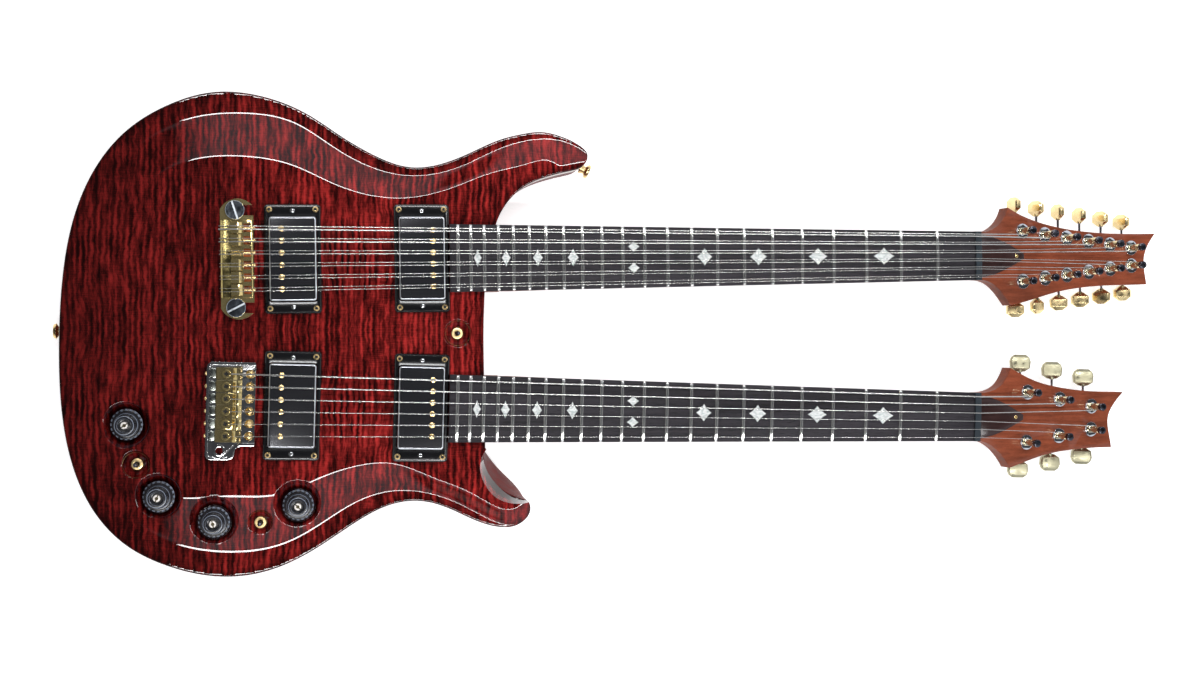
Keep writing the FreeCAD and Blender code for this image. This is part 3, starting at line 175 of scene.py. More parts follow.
class MetalSettings(bpy.types.PropertyGroup):
    gold: colour_setting("Gold", "Plating of the wraparound bridge", (0.86, 0.58, 0.20))
    brass: colour_setting("Brass", "Saddles of the tremolo", (0.42, 0.34, 0.14))
    nickel: colour_setting("Nickel", "Plate of the tremolo", (0.62, 0.63, 0.65))


# Small helpers

def deselect_all():
    for piece in bpy.context.selected_objects:
        piece.select_set(False)


def take(piece):
    """Makes a piece the only selected and the active object."""
    deselect_all()
    piece.select_set(True)
    bpy.context.view_layer.objects.active = piece


def edit(piece, step):
    """Runs one step in edit mode with the whole mesh selected."""
    take(piece)
    bpy.ops.object.mode_set(mode="EDIT")
    bpy.ops.mesh.select_all(action="SELECT")
    step()
    bpy.ops.object.mode_set(mode="OBJECT")


def apply(piece, kind, **values):
    """Adds a modifier with its values and applies it."""
    take(piece)
    modifier = piece.modifiers.new(kind.title(), kind)
    for name, value in values.items():
        setattr(modifier, name, value)
    bpy.ops.object.modifier_apply(modifier=modifier.name)


def smooth(piece, angle=32):
    take(piece)
    bpy.ops.object.shade_smooth_by_angle(angle=math.radians(angle))


def finish_piece(piece, name, finish, body="guitar"):
    """Names a finished mesh, gives it its finish and its body."""
    piece.name = piece.data.name = name
    piece.data.materials.clear()
    piece.data.materials.append(material_named(finish))
    if body:
        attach(piece, body)
    return piece


def stand_in(piece, node, finish, name=None):
    """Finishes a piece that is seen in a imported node's place."""
    finish_piece(piece, name or node + "_finished", finish, NODE_BODY[node])
    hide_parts(node)
    return piece


def paint(piece, finish, chosen, matrix=None):
    """Gives another finish to the faces whose centres a test picks, in the matrix's own axes."""
    back = matrix.inverted() if matrix else Matrix.Identity(4)
    piece.data.materials.append(material_named(finish))
    slot = len(piece.data.materials) - 1
    for face in piece.data.polygons:
        if chosen(back @ face.center):
            face.material_index = slot


def welded_copy(node, ease=0.0, segments=2, limit=30):
    """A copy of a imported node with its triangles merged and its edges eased, in millimetres."""
    piece = duplicate(frame["nodes"][node], node + "_finished")
    take(piece)
    bpy.ops.mesh.customdata_custom_splitnormals_clear()

    def weld():
        bpy.ops.mesh.remove_doubles(threshold=WELD)
        bpy.ops.mesh.dissolve_limited(angle_limit=math.radians(0.5))

    edit(piece, weld)
    if ease:
        apply(piece, "BEVEL", width=ease * MM, segments=segments, limit_method="ANGLE",
              angle_limit=math.radians(limit), use_clamp_overlap=True)
    smooth(piece, limit)
    return piece


def replace_node(node, finish, ease=0.0, segments=2, limit=30):
    """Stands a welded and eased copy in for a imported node."""
    return stand_in(welded_copy(node, ease, segments, limit), node, finish)


def duplicate(piece, name):
    """A second object on its own copy of a piece's mesh."""
    twin = bpy.data.objects.new(name, piece.data.copy())
    bpy.context.scene.collection.objects.link(twin)
    return twin


def drop_points(piece, chosen):
    """Takes the points that a test picks out of a mesh, with their faces."""
    shape = bmesh.new()
    shape.from_mesh(piece.data)
    gone = [corner for corner in shape.verts if chosen(corner.co)]
    bmesh.ops.delete(shape, geom=gone, context="VERTS")
    shape.to_mesh(piece.data)
    shape.free()


def level_distance(place, spots):
    """How far a place lies from the nearest of some matrices, seen from above."""
    return min((place - spot.translation).xy.length for spot in spots)


def neck_matrix(side):
    return (Matrix.Translation((0, side * NECK_OFFSET, 0))
            @ Matrix.Rotation(side * NECK_TURN, 4, "Z"))


def head_matrix(side):
    tilt = Matrix.Translation((HEAD_START, 0, NECK_SEAT)) @ Matrix.Rotation(HEAD_TILT, 4, "Y")
    return neck_matrix(side) @ tilt


def camber(y):
    """How far the fingerboard's arc has fallen at a distance from its middle."""
    return BOARD_ARC - math.sqrt(BOARD_ARC ** 2 - y ** 2)


def curve_points(points, steps, closed=False):
    """The smooth cubic curve through the points, sampled evenly within each span."""
    p = np.array(points, float)
    if closed:
        p = np.vstack([p, p[:1]])
    count = len(p)
    h = np.linalg.norm(np.diff(p, axis=0), axis=1)
    d = np.diff(p, axis=0) / h[:, None]
    rows = np.zeros((count, count))
    values = np.zeros_like(p)
    for i in range(1, count - 1):
        rows[i, i - 1:i + 2] = h[i], 2 * (h[i - 1] + h[i]), h[i - 1]
        values[i] = 3 * (h[i] * d[i - 1] + h[i - 1] * d[i])
    if closed:
        rows[0, [0, 1, count - 2]] = 2 * (h[0] + h[-1]), h[-1], h[0]
        values[0] = 3 * (h[0] * d[-1] + h[-1] * d[0])
        rows[-1, 0], rows[-1, -1] = 1, -1
    else:
        t = np.concatenate([[0], np.cumsum(h)])
        for row, near in ((0, slice(0, 4)), (-1, slice(count - 4, count))):
            rows[row, row] = 1
            at = t[near] - t[row]
            values[row] = [np.polyfit(at, p[near, axis], 3)[2] for axis in range(p.shape[1])]
    m = np.linalg.solve(rows, values)
    found = []
    for i in range(count - 1):
        for u in np.arange(steps) / steps:
            found.append((2 * u ** 3 - 3 * u ** 2 + 1) * p[i]
                         + (u ** 3 - 2 * u ** 2 + u) * h[i] * m[i]
                         + (3 * u ** 2 - 2 * u ** 3) * p[i + 1]
                         + (u ** 3 - u ** 2) * h[i] * m[i + 1])
    if not closed:
        found.append(p[-1])
    return np.array(found)


def body_curve(shares, steps, closed=False):
    return curve_points(np.array(shares) / 1000 * BODY_SIZE, steps, closed)


def body_place(shares):
    return tuple(share / 1000 * size for share, size in zip(shares, BODY_SIZE))


def skin(name, rings):
    """A closed mesh through rings of equally many points, with a cap at both ends."""
    mesh = bpy.data.meshes.new(name)
    count = len(rings[0])
    last = (len(rings) - 1) * count
    points = [tuple(point) for ring in rings for point in ring]
    faces = []
    for level in range(len(rings) - 1):
        low, high = level * count, (level + 1) * count
        for i in range(count):
            j = (i + 1) % count
            faces.append((low + i, low + j, high + j, high + i))
    faces += [tuple(range(count))[::-1], tuple(range(last, last + count))]
    mesh.from_pydata(points, [], faces)
    piece = bpy.data.objects.new(name, mesh)
    bpy.context.scene.collection.objects.link(piece)
    edit(piece, lambda: bpy.ops.mesh.normals_make_consistent(inside=False))
    return piece


def turned(profile, steps=48):
    """A turned shape about Z from corners of radius and height in millimetres."""
    bpy.ops.mesh.primitive_plane_add(size=MM, location=(0, 0, 0))
    piece = bpy.context.active_object
    shape = bmesh.new()
    corners = [shape.verts.new((radius * MM, 0, height * MM)) for radius, height in profile]
    for first, second in zip(corners, corners[1:]):
        shape.edges.new((first, second))
    shape.to_mesh(piece.data)
    shape.free()

    def spin():
        bpy.ops.mesh.spin(steps=steps, angle=math.tau, center=(0, 0, 0), axis=(0, 0, 1))
        bpy.ops.mesh.select_all(action="SELECT")
        bpy.ops.mesh.remove_doubles(threshold=WELD)
        bpy.ops.mesh.normals_make_consistent(inside=False)

    edit(piece, spin)
    return piece


def block(low, high):
    """A box between two corners."""
    low, high = Vector(low), Vector(high)
    bpy.ops.mesh.primitive_cube_add(size=1, location=(low + high) / 2, scale=high - low)
    piece = bpy.context.active_object
    set_in_place(piece)
    return piece


def set_in_place(piece, matrix=None):
    """Moves a piece's place into its mesh and leaves its object at the origin."""
    if matrix is not None:
        piece.data.transform(matrix)
    else:
        piece.data.transform(piece.matrix_basis)
        piece.matrix_basis = Matrix.Identity(4)
    return piece


def copies(piece, matrices):
    """Copies of one modelled piece, each with its own mesh, joined into one."""
    made = [set_in_place(duplicate(piece, piece.name), matrix) for matrix in matrices]
    bpy.data.objects.remove(piece)
    return joined(made)


def joined(pieces):
    deselect_all()
    for piece in pieces:
        piece.select_set(True)
    bpy.context.view_layer.objects.active = pieces[0]
    if len(pieces) > 1:
        bpy.ops.object.join()
    return pieces[0]


def cut(piece, cutter, operation="DIFFERENCE", solver="EXACT"):
    """Cuts a piece with another, which is then removed."""
    apply(piece, "BOOLEAN", object=cutter, operation=operation, solver=solver)
    bpy.data.objects.remove(cutter)
    return piece


# Materials

def add(tree, kind, inputs=(), **settings):
    """Adds a node with its settings, and links or sets its inputs."""
    made = tree.nodes.new("ShaderNode" + kind)
    for name, value in settings.items():
        setattr(made, name, value)
    pairs = inputs.items() if isinstance(inputs, dict) else enumerate(inputs)
    for key, value in pairs:
        if isinstance(value, bpy.types.NodeSocket):
            tree.links.new(value, made.inputs[key])
        elif value is not None:
            made.inputs[key].default_value = value
    return made


def calc(tree, operation, *values):
    return add(tree, "Math", values, operation=operation).outputs[0]


def blend(tree, factor, first, second, mode="MIX"):
    made = add(tree, "Mix", {0: factor, 6: first, 7: second}, data_type="RGBA", blend_type=mode)
    return made.outputs[2]


def rgba(colour):
    """Four channels from a grey level or from a colour."""
    return (colour,) * 3 + (1,) if isinstance(colour, (int, float)) else (*colour[:3], 1)


def ramp(tree, value, *stops):
    """A colour ramp through stops of place and colour or grey level."""
    made = add(tree, "ValToRGB", [value])
    band = made.color_ramp.elements
    while len(band) < len(stops):
        band.new(0.5)
    for element, (place, colour) in zip(band, stops):
        element.position = place
        element.color = rgba(colour)
    return made.outputs[0]


def noise(tree, vector, scale, detail=2.0, roughness=0.5):
    made = add(tree, "TexNoise", {"Vector": vector, "Scale": scale, "Detail": detail,
                                  "Roughness": roughness})
    return made.outputs[0]


def stretched(tree, vector, scale):
    """The coordinates squeezed along each axis, so that a pattern runs along the others."""
    return add(tree, "Mapping", {"Vector": vector, "Scale": scale}).outputs[0]


def bump(tree, height, strength, distance=0.05 * MM):
    return add(tree, "Bump", {"Height": height, "Strength": strength,
                              "Distance": distance}).outputs[0]


def scaled(colour, factor):
    return tuple(min(1, factor * channel) for channel in colour)


def normal_z(tree):
    """How far a face looks upwards."""
    return add(tree, "SeparateXYZ", [add(tree, "NewGeometry").outputs["Normal"]]).outputs[2]


def new_material(name, **values):
    """A material with its shader's plain values set on the shader itself."""
    material = bpy.data.materials.new(name)
    material.use_nodes = True
    tree = material.node_tree
    shader = tree.nodes["Principled BSDF"]
    for key, value in values.items():
        shader.inputs[key.replace("_", " ")].default_value = value
    return material, tree, shader, add(tree, "TexCoord").outputs["Object"]


def plug(tree, shader, **sockets):
    for key, socket in sockets.items():
        tree.links.new(socket, shader.inputs[key.replace("_", " ")])


def flame_top(name, seam=2.5 * MM, bare_low=37 * MM, bare_high=43.4 * MM):
    """Glossy stained flame maple in two mirrored leaves, darker towards the tail, with painted
    shade in its recesses.
    """
    wood = bpy.context.scene.guitar_wood
    material, tree, shader, place = new_material(
        name, Roughness=0.5, Coat_Weight=1.0, Coat_Roughness=0.02, Coat_IOR=1.5,
        Specular_IOR_Level=0.0)
    x, y, z = add(tree, "SeparateXYZ", [place]).outputs
    leaf = calc(tree, "ABSOLUTE", calc(tree, "SUBTRACT", y, seam))
    sheet = add(tree, "CombineXYZ", [x, leaf, 0.0]).outputs[0]
    run = x
    for scale, reach, vector in ((7.0, 15 * MM, sheet), (30.0, 3.0 * MM, sheet),
                                 (1.0, 2.6 * MM, stretched(tree, sheet, (34, 90, 1))),
                                 (1.0, 1.5 * MM, stretched(tree, sheet, (90, 300, 1)))):
        run = calc(tree, "MULTIPLY_ADD", noise(tree, vector, scale, 1.5), reach, run)
    wave = calc(tree, "SINE", calc(tree, "MULTIPLY", run, math.tau / wood.flame_pitch))
    bars = add(tree, "CombineXYZ", [calc(tree, "MULTIPLY", run, 1.1 / wood.flame_pitch),
                                    calc(tree, "MULTIPLY", leaf, 40.0), 0.0]).outputs[0]
    bars = noise(tree, bars, 1.0, 3.5, 0.65)
    strength = ramp(tree, noise(tree, sheet, 24.0, 2.0), (0.32, 0.15), (0.62, 1.0))
    fibre = noise(tree, stretched(tree, sheet, (90, 1200, 1)), 1.0, 3.0, 0.7)
    cloud = noise(tree, sheet, 9.0, 2.0)
    tone = calc(tree, "MULTIPLY_ADD", calc(tree, "MULTIPLY", wave, strength), 0.17, 0.44)
    for value, share in ((bars, 1.85), (fibre, 0.55), (cloud, 0.5)):
        tone = calc(tree, "MULTIPLY_ADD", calc(tree, "SUBTRACT", value, 0.5), share, tone)
    dark, light = tuple(wood.flame_dark), tuple(wood.flame_light)
    colour = ramp(tree, tone, (0.18, dark), (0.44, scaled(light, 0.33)), (0.72, light),
                  (1.0, scaled(light, 1.5)))
    edge = add(tree, "Attribute", attribute_name="edge").outputs["Fac"]
    glow = ramp(tree, calc(tree, "MULTIPLY_ADD", x, 4.0, 0.58),
                (0.0, 0.42), (0.35, 0.62), (0.75, 1.0), (1.0, 1.22))
    # Painted shade: the top darkens below the rim's height, down to a tenth on the recesses'
    # floors
    painted_recess_shade = ramp(tree, calc(tree, "DIVIDE", z, 50 * MM), (0.826, 0.10), (0.88, 1.0))
    burst = ramp(tree, calc(tree, "DIVIDE", edge, wood.burst_width), (0.0, 0.35), (1.0, 1.0))
    for shade in (glow, painted_recess_shade, burst):
        colour = blend(tree, 1.0, colour, shade, "MULTIPLY")
    outside = calc(tree, "LESS_THAN", edge, 0.35 * MM)
    bare = calc(tree, "LESS_THAN", calc(tree, "ABSOLUTE", normal_z(tree)), 0.22)
    for limit in (calc(tree, "GREATER_THAN", z, bare_low), calc(tree, "LESS_THAN", z, bare_high),
                  outside):
        bare = calc(tree, "MULTIPLY", bare, limit)
    side = calc(tree, "MULTIPLY", calc(tree, "LESS_THAN", z, bare_low), outside)
    colour = blend(tree, bare, colour, rgba(wood.rim_colour))
    plug(tree, shader, Base_Color=blend(tree, side, colour, rgba(wood.back_colour)))
    return material


def grained_wood(name, colour, scale, gloss, pores):
    """A straight-grained wood whose grain runs along X, polished where it lies flat."""
    material, tree, shader, place = new_material(
        name, Coat_Roughness=0.04, Specular_IOR_Level=0.12)
    streak = noise(tree, stretched(tree, place, (6, 260, 260)), 1.0, 3.0, 0.65)
    flow = noise(tree, stretched(tree, place, (3, 40, 40)), scale, 2.0)
    pore = noise(tree, stretched(tree, place, (130, 2400, 2400)), 1.0, 1.0)
    tone = calc(tree, "MULTIPLY_ADD", flow, 0.5, calc(tree, "MULTIPLY", streak, 0.5))
    shade = ramp(tree, tone, (0.33, scaled(colour, 0.55)), (0.5, colour),
                 (0.68, scaled(colour, 1.45)))
    speck = ramp(tree, pore, (0.34, 1 - pores), (0.42, 1.0))
    plug(tree, shader, Base_Color=blend(tree, 1.0, shade, speck, "MULTIPLY"),
         Coat_Weight=ramp(tree, normal_z(tree), (0.90, 0.0), (0.95, gloss)),
         Roughness=ramp(tree, streak, (0.3, 0.38), (0.7, 0.55)), Normal=bump(tree, pore, 0.25))
    return material


def metal(name, colour, rough, wear=0.5, grain=600.0, tint=0.12, cloud=160.0, ripple=1.0):
    """A plated metal with faint smears and a fine uneven gloss."""
    material, tree, shader, place = new_material(name, Metallic=1.0)
    smear = noise(tree, place, cloud, 4.0, 0.6)
    fine = noise(tree, place, grain, 2.0)
    plug(tree, shader,
         Base_Color=ramp(tree, smear, (0.35, scaled(colour, 1 - tint)), (0.65, colour)),
         Roughness=ramp(tree, smear, (0.3, rough * (1 - wear)), (0.7, rough * (1 + wear))),
         Normal=bump(tree, fine, ripple * (0.04 + 0.3 * rough), 0.02 * MM))
    return material


def plastic(name, colour, rough, shine=0.5, speckle=0.25):
    """A plain moulded finish with a faint unevenness."""
    material, tree, shader, place = new_material(name, Specular_IOR_Level=shine)
    fine = noise(tree, place, 900.0, 3.0)
    broad = noise(tree, place, 60.0, 2.0)
    plug(tree, shader,
         Base_Color=ramp(tree, broad, (0.3, scaled(colour, 1 - speckle)),
                         (0.7, scaled(colour, 1 + speckle))),
         Roughness=ramp(tree, fine, (0.3, rough * 0.8), (0.7, rough * 1.25)),
         Normal=bump(tree, fine, 0.06))
    return material


def pearl(name):
    """Mother-of-pearl with soft bands of pink and green."""
    material, tree, shader, place = new_material(name, Roughness=0.22, Coat_Weight=1.0,
                                                 Coat_Roughness=0.03)
    fold = noise(tree, stretched(tree, place, (120, 260, 120)), 1.0, 3.0)
    band = calc(tree, "SINE", calc(tree, "MULTIPLY", fold, 34.0))
    shade = ramp(tree, calc(tree, "MULTIPLY_ADD", band, 0.5, 0.5), (0.0, (0.50, 0.56, 0.55)),
                 (0.35, (0.82, 0.84, 0.82)), (0.6, (0.80, 0.72, 0.74)),
                 (0.8, (0.70, 0.80, 0.76)), (1.0, (0.93, 0.93, 0.92)))
    plug(tree, shader, Base_Color=shade)
    return material


# Each finish: its maker, and the maker's values, in which a name stands for a setting's colour
FINISHES = {
    "flame_maple_gloss": (flame_top, {}),
    "pearl_shell": (pearl, {}),
    "back_mahogany": (grained_wood, dict(colour="back_colour", scale=1.0, gloss=1.0, pores=0.35)),
    "neck_mahogany": (grained_wood, dict(colour="neck_colour", scale=1.0, gloss=0.8, pores=0.22)),
    "rosewood": (grained_wood, dict(colour="board_colour", scale=1.4, gloss=0.0, pores=0.5)),
    "fret_wire": (metal, dict(colour=(0.72, 0.72, 0.75), rough=0.52, ripple=0.05)),
    "string_steel": (metal, dict(colour=(0.60, 0.59, 0.60), rough=0.52, ripple=0.05)),
    "chrome": (metal, dict(colour=(0.88, 0.89, 0.92), rough=0.05, tint=0.04)),
    "dark_chrome": (metal, dict(colour=(0.42, 0.47, 0.53), rough=0.14, tint=0.3)),
    "nut_gold": (metal, dict(colour=(0.95, 0.72, 0.36), rough=0.42)),
    "slot_floor": (metal, dict(colour=(0.80, 0.84, 0.88), rough=0.5)),
    "post_cap": (metal, dict(colour=(0.10, 0.10, 0.12), rough=0.20)),
    "shaft_metal": (metal, dict(colour=(0.90, 0.85, 0.80), rough=0.5)),
    "post_brass": (metal, dict(colour=(0.34, 0.17, 0.09), rough=0.25)),
    "gold_plate": (metal, dict(colour="gold", rough=0.17)),
    "olive_gold": (metal, dict(colour=(0.58, 0.47, 0.19), rough=0.16, tint=0.3)),
    "copper_red": (metal, dict(colour=(0.36, 0.10, 0.035), rough=0.35, tint=0.5)),
    "button_gold": (metal, dict(colour=(0.86, 0.68, 0.36), rough=0.26)),
    "button_pale_gold": (metal, dict(colour=(0.50, 0.47, 0.32), rough=0.42)),
    "saddle_brass": (metal, dict(colour="brass", rough=0.20, tint=0.3)),
    "nickel_edge": (metal, dict(colour=(0.80, 0.83, 0.88), rough=0.42, wear=0.4, grain=60.0,
                                tint=0.3, cloud=55.0)),
    "pickup_nickel": (metal, dict(colour=(0.84, 0.91, 1.0), rough=0.08, grain=60.0, tint=0.5,
                                  cloud=55.0)),
    "tremolo_nickel": (metal, dict(colour="nickel", rough=0.10, tint=0.4)),
    "heel_nickel": (metal, dict(colour=(0.46, 0.49, 0.44), rough=0.20, tint=0.6, cloud=110.0)),
    "screw_brass": (metal, dict(colour=(0.84, 0.62, 0.30), rough=0.24)),
    "screw_nickel": (metal, dict(colour=(0.78, 0.79, 0.80), rough=0.15)),
    "spring_steel": (metal, dict(colour=(0.55, 0.55, 0.56), rough=0.25)),
    "nut_slate": (plastic, dict(colour=(0.024, 0.032, 0.040), rough=0.45, shine=0.15)),
    "ring_black": (plastic, dict(colour=(0.006, 0.006, 0.007), rough=0.14)),
    "knob_black": (plastic, dict(colour=(0.004, 0.005, 0.007), rough=0.08)),
    # Pale finish painted on the knobs' edges as a painted highlight
    "knob_edge": (plastic, dict(colour=(0.26, 0.30, 0.38), rough=0.16)),
    "cover_black": (plastic, dict(colour=(0.015, 0.014, 0.014), rough=0.45)),
    "rod_cover_brown": (plastic, dict(colour=(0.034, 0.015, 0.014), rough=0.2)),
    # Near-black painted shade for the insides of screw recesses
    "recess_dark": (plastic, dict(colour=(0.006, 0.005, 0.004), rough=0.6)),
}


def material_named(name):
    """A finish of the guitar, made the first time that it is asked for."""
    if name in bpy.data.materials:
        return bpy.data.materials[name]
    maker, values = FINISHES[name]
    colour = values.get("colour")
    if isinstance(colour, str):
        scene = bpy.context.scene
        settings = scene.guitar_wood if maker is grained_wood else scene.guitar_metal
        values = {**values, "colour": tuple(getattr(settings, colour))}
    return maker(name, **values)


# The stage

class GUITAR_OT_stage(bpy.types.Operator):
    """Sets the camera, the pale floor, the strip lights and the studio around the guitar"""
    bl_idname = "guitar.stage"
    bl_label = "Studio and camera"

    def execute(self, context):
        studio = context.scene.guitar_studio
        context.scene.view_settings.view_transform = "Standard"
        make_camera(studio)
        make_floor(studio)
        make_world(studio)
        for side in (1, -1):
            make_strip(side, studio.strip_power)
        return {"FINISHED"}


def make_camera(studio):
    data = bpy.data.cameras.new("camera")
    data.lens = studio.lens
    data.sensor_width = 36.0
    camera = bpy.data.objects.new("camera", data)
    bpy.context.scene.collection.objects.link(camera)
    camera.matrix_world = (Matrix.Translation(CAMERA_PLACE) @ Matrix.Rotation(-CAMERA_TILT, 4, "Y")
                           @ Matrix.Rotation(CAMERA_ROLL, 4, "Z"))
    bpy.context.scene.camera = camera


def make_strip(side, power):
    """A long lamp beside the guitar, which draws the thin lines along the carve."""
    data = bpy.data.lights.new(f"strip_{side}", "AREA")
    data.shape = "RECTANGLE"
    data.size, data.size_y = STRIP_SIZE
    data.energy = power
    lamp = bpy.data.objects.new(data.name, data)
    bpy.context.scene.collection.objects.link(lamp)
    x, y, z = STRIP_PLACE
    lamp.location = (x, side * y, z)
    lamp.rotation_euler = Vector((0, side * y, z - STRIP_AIM)).to_track_quat("Z", "Y").to_euler()


def make_floor(studio):
    """A pale floor that shows white to the camera and keeps the guitar's shadow."""
    bpy.ops.mesh.primitive_plane_add(size=12, location=(0.3, 0, -0.4 * MM))
    floor = bpy.context.active_object
    floor.name = "floor"
    material = bpy.data.materials.new("floor_white")
    material.use_nodes = True
    tree = material.node_tree
    tree.nodes.clear()
    matt = add(tree, "BsdfDiffuse", {"Color": rgba(studio.floor_colour)}).outputs[0]
    glow = add(tree, "Emission", {"Color": rgba(1.0), "Strength": 0.62}).outputs[0]
    rays = add(tree, "LightPath").outputs
    seen = calc(tree, "MAXIMUM", rays["Is Camera Ray"], rays["Is Glossy Ray"])
    seen = calc(tree, "MAXIMUM", seen, rays["Is Transmission Ray"])
    lit = add(tree, "AddShader", [matt, glow]).outputs[0]
    mixed = add(tree, "MixShader", [seen, matt, lit]).outputs[0]
    add(tree, "OutputMaterial", [mixed])
    floor.data.materials.append(material)
    set_in_place(floor)


def make_world(studio):
    """A studio with bright walls on both sides, a dim ceiling, and white to the camera."""
    world = bpy.data.worlds.new("studio")
    world.use_nodes = True
    bpy.context.scene.world = world
    tree = world.node_tree
    tree.nodes.clear()
    x, y, z = add(tree, "SeparateXYZ", [add(tree, "TexCoord").outputs["Generated"]]).outputs
    upward = calc(tree, "MAXIMUM", z, 0.02)
    aside = calc(tree, "DIVIDE", calc(tree, "ABSOLUTE", y), upward)
    along = calc(tree, "ADD", calc(tree, "DIVIDE", x, upward), 0.5)
    wall, ceiling = studio.wall_light, studio.ceiling_light
    tint = (wall * 0.95, wall, wall * 1.08)
    dim = (ceiling * 0.95, ceiling, ceiling * 1.1)
    sides = blend(tree, ramp(tree, along, (0.20, 0.0), (0.38, 1.0)), rgba(dim),
                  ramp(tree, aside, (0.25, dim), (0.36, tint)))
    horizon = ramp(tree, z, (0.22, 0.85), (0.50, 0.0))
    lit = blend(tree, 1.0, sides, horizon, "LIGHTEN")
    seen = add(tree, "LightPath").outputs["Is Camera Ray"]
    colour = blend(tree, seen, lit, rgba(1.0))
    glow = add(tree, "Background", {"Color": colour, "Strength": 1.0}).outputs[0]
    add(tree, "OutputWorld", [glow])


# The body

def slope_share(share, bend=0.18):
    """How far an even slope with rounded ends has risen at a share of its run."""
    if share > bend:
        return (share - bend / 2) / (1 - bend)
    part = share / bend
    return bend / (1 - bend) * (part ** 3 - part ** 4 / 2)


def crown_height(levels=50, upper_shift=6.5, lower_shift=4.5):
    """A function for the carved top's height at a place, before its dishes."""
    foot = body_curve(FOOT_SHARES, 12, True)
    crown = body_curve(CROWN_SHARES, 12, True)
    out = foot - crown
    shift = np.where(foot[:, 1:] > 0, upper_shift, lower_shift) * MM
    foot += out / np.linalg.norm(out, axis=1)[:, None] * shift
    points, faces = [], []
    count = len(foot)
    for level in range(levels + 1):
        share = level / levels
        lift = slope_share(share) if share < 0.5 else 1 - slope_share(1 - share)
        for near, far in zip(foot, crown):
            x, y = near + (far - near) * share
            points.append((x, y, RIM_TOP + (CROWN_TOP - RIM_TOP) * lift))
    for level in range(levels):
        low, high = level * count, (level + 1) * count
        faces += [(low + i, low + (i + 1) % count, high + (i + 1) % count, high + i)
                  for i in range(count)]
    faces.append(tuple(range(levels * count, (levels + 1) * count)))
    tree = BVHTree.FromPolygons(points, faces)

    def height(x, y):
        hit = tree.ray_cast(Vector((x, y, 1)), Vector((0, 0, -1)))[0]
        return hit.z if hit else RIM_TOP

    return height


def outline_points(steps):
    """The body's outline as one ring, with its inward directions."""
    ring = np.vstack([body_curve(shares, steps)[:-1]
                      for shares in (RIM_SHARES, SCOOP_SHARES, WAIST_SHARES)])
    along = np.roll(ring, -1, axis=0) - np.roll(ring, 1, axis=0)
    along /= np.linalg.norm(along, axis=1)[:, None]
    return ring, np.column_stack([-along[:, 1], along[:, 0]])


def rim_tool(height, ease):
    """A prism on the body's outline whose upper edge is rounded and then runs straight up."""
    ring, inward = outline_points(10)
    tops = [height(x, y) for x, y in ring]
    rings = [[(x, y, BACK_TOP) for x, y in ring]]
    for step in range(6):
        turn = math.pi / 2 * step / 5
        inset, drop = ease * (1 - math.cos(turn)), ease * (1 - math.sin(turn))
        rings.append([(*(point + way * inset), top - drop)
                      for point, way, top in zip(ring, inward, tops)])
    rings.append([(*(point + way * ease), OPEN_END) for point, way in zip(ring, inward)])
    return skin("rim_tool", rings)


def scoop_tool():
    """The slanted cut that bares the lower horn."""
    inner = body_curve(SHOULDER_SHARES, 12)
    outer = body_curve(SCOOP_SHARES, 18)[::-1]
    reach = np.array((30 * MM, 15 * MM))
    rings = []
    for curve, level in ((inner, 52 * MM), (outer, 8 * MM)):
        ring = list(curve) + [curve[-1] + reach, curve[0] + reach]
        rings.append([(x, y, level) for x, y in ring])
    return skin("scoop_tool", rings)


def knob_cup(slope):
    """The floor of a knob's recess, and its wall's distance from the axis at a height."""
    flat, round_over = 14.4 * MM, 2.5 * MM
    turn = math.pi / 2 - math.atan(slope)
    start = flat - round_over * math.tan(turn / 2)
    floor = [(0.2 * MM, DISH_FLOOR)]
    for step in range(5):
        angle = turn * step / 4
        floor.append((start + round_over * math.sin(angle),
                      DISH_FLOOR + round_over * (1 - math.cos(angle))))
    return floor, lambda z: flat + slope * (z - DISH_FLOOR)


def toggle_cup():
    """The floor and the round wall of a toggle's recess."""
    radius, flat = 11.8 * MM, 4.9 * MM
    rise = radius - math.sqrt(radius ** 2 - flat ** 2)
    wall = lambda z: math.sqrt(max(0, radius ** 2 - (radius - z + DISH_FLOOR) ** 2))
    return [(0.2 * MM, DISH_FLOOR), (flat, DISH_FLOOR), (flat, DISH_FLOOR + rise)], wall


def dish_tool(height, shares, cup, steps=96, lip=0.8 * MM):
    """The cutter of a recess, with a lip that rolls into the carved top."""
    floor, wall = cup
    cx, cy = body_place(shares)
    columns = []
    for step in range(steps):
        turn = math.tau * step / steps
        way = Vector((math.cos(turn), math.sin(turn)))
        top = lambda run: height(cx + way.x * run, cy + way.y * run)
        edge = 12 * MM
        for _ in range(12):
            edge = wall(top(edge))
        foot, brink = floor[-1][1], top(edge) - lip
        profile = list(floor)
        profile += [(wall(z), z) for z in (foot + (brink - foot) * share
                                           for share in (0.15, 0.3, 0.45, 0.6, 0.8, 1.0))]
        reach = wall(brink) + 0.08 * MM
        start, corner, end = ((reach, brink + 0.4 * MM), (reach + 0.05 * MM, top(edge)),
                              (reach + lip, top(reach + lip)))
        for share in (0.0, 0.25, 0.5, 0.75, 1.0):
            near, far = (1 - share) ** 2, share ** 2
            mid = 2 * share * (1 - share)
            profile.append(tuple(near * a + mid * b + far * c
                                 for a, b, c in zip(start, corner, end)))
        profile.append((reach + lip, OPEN_END))
        columns.append([(cx + way.x * run, cy + way.y * run, z) for run, z in profile])
    rings = [[column[level] for column in columns] for level in range(len(columns[0]))]
    return skin("dish_tool", rings)


def neck_block(side, low, high):
    return set_in_place(block(low, high), neck_matrix(side))


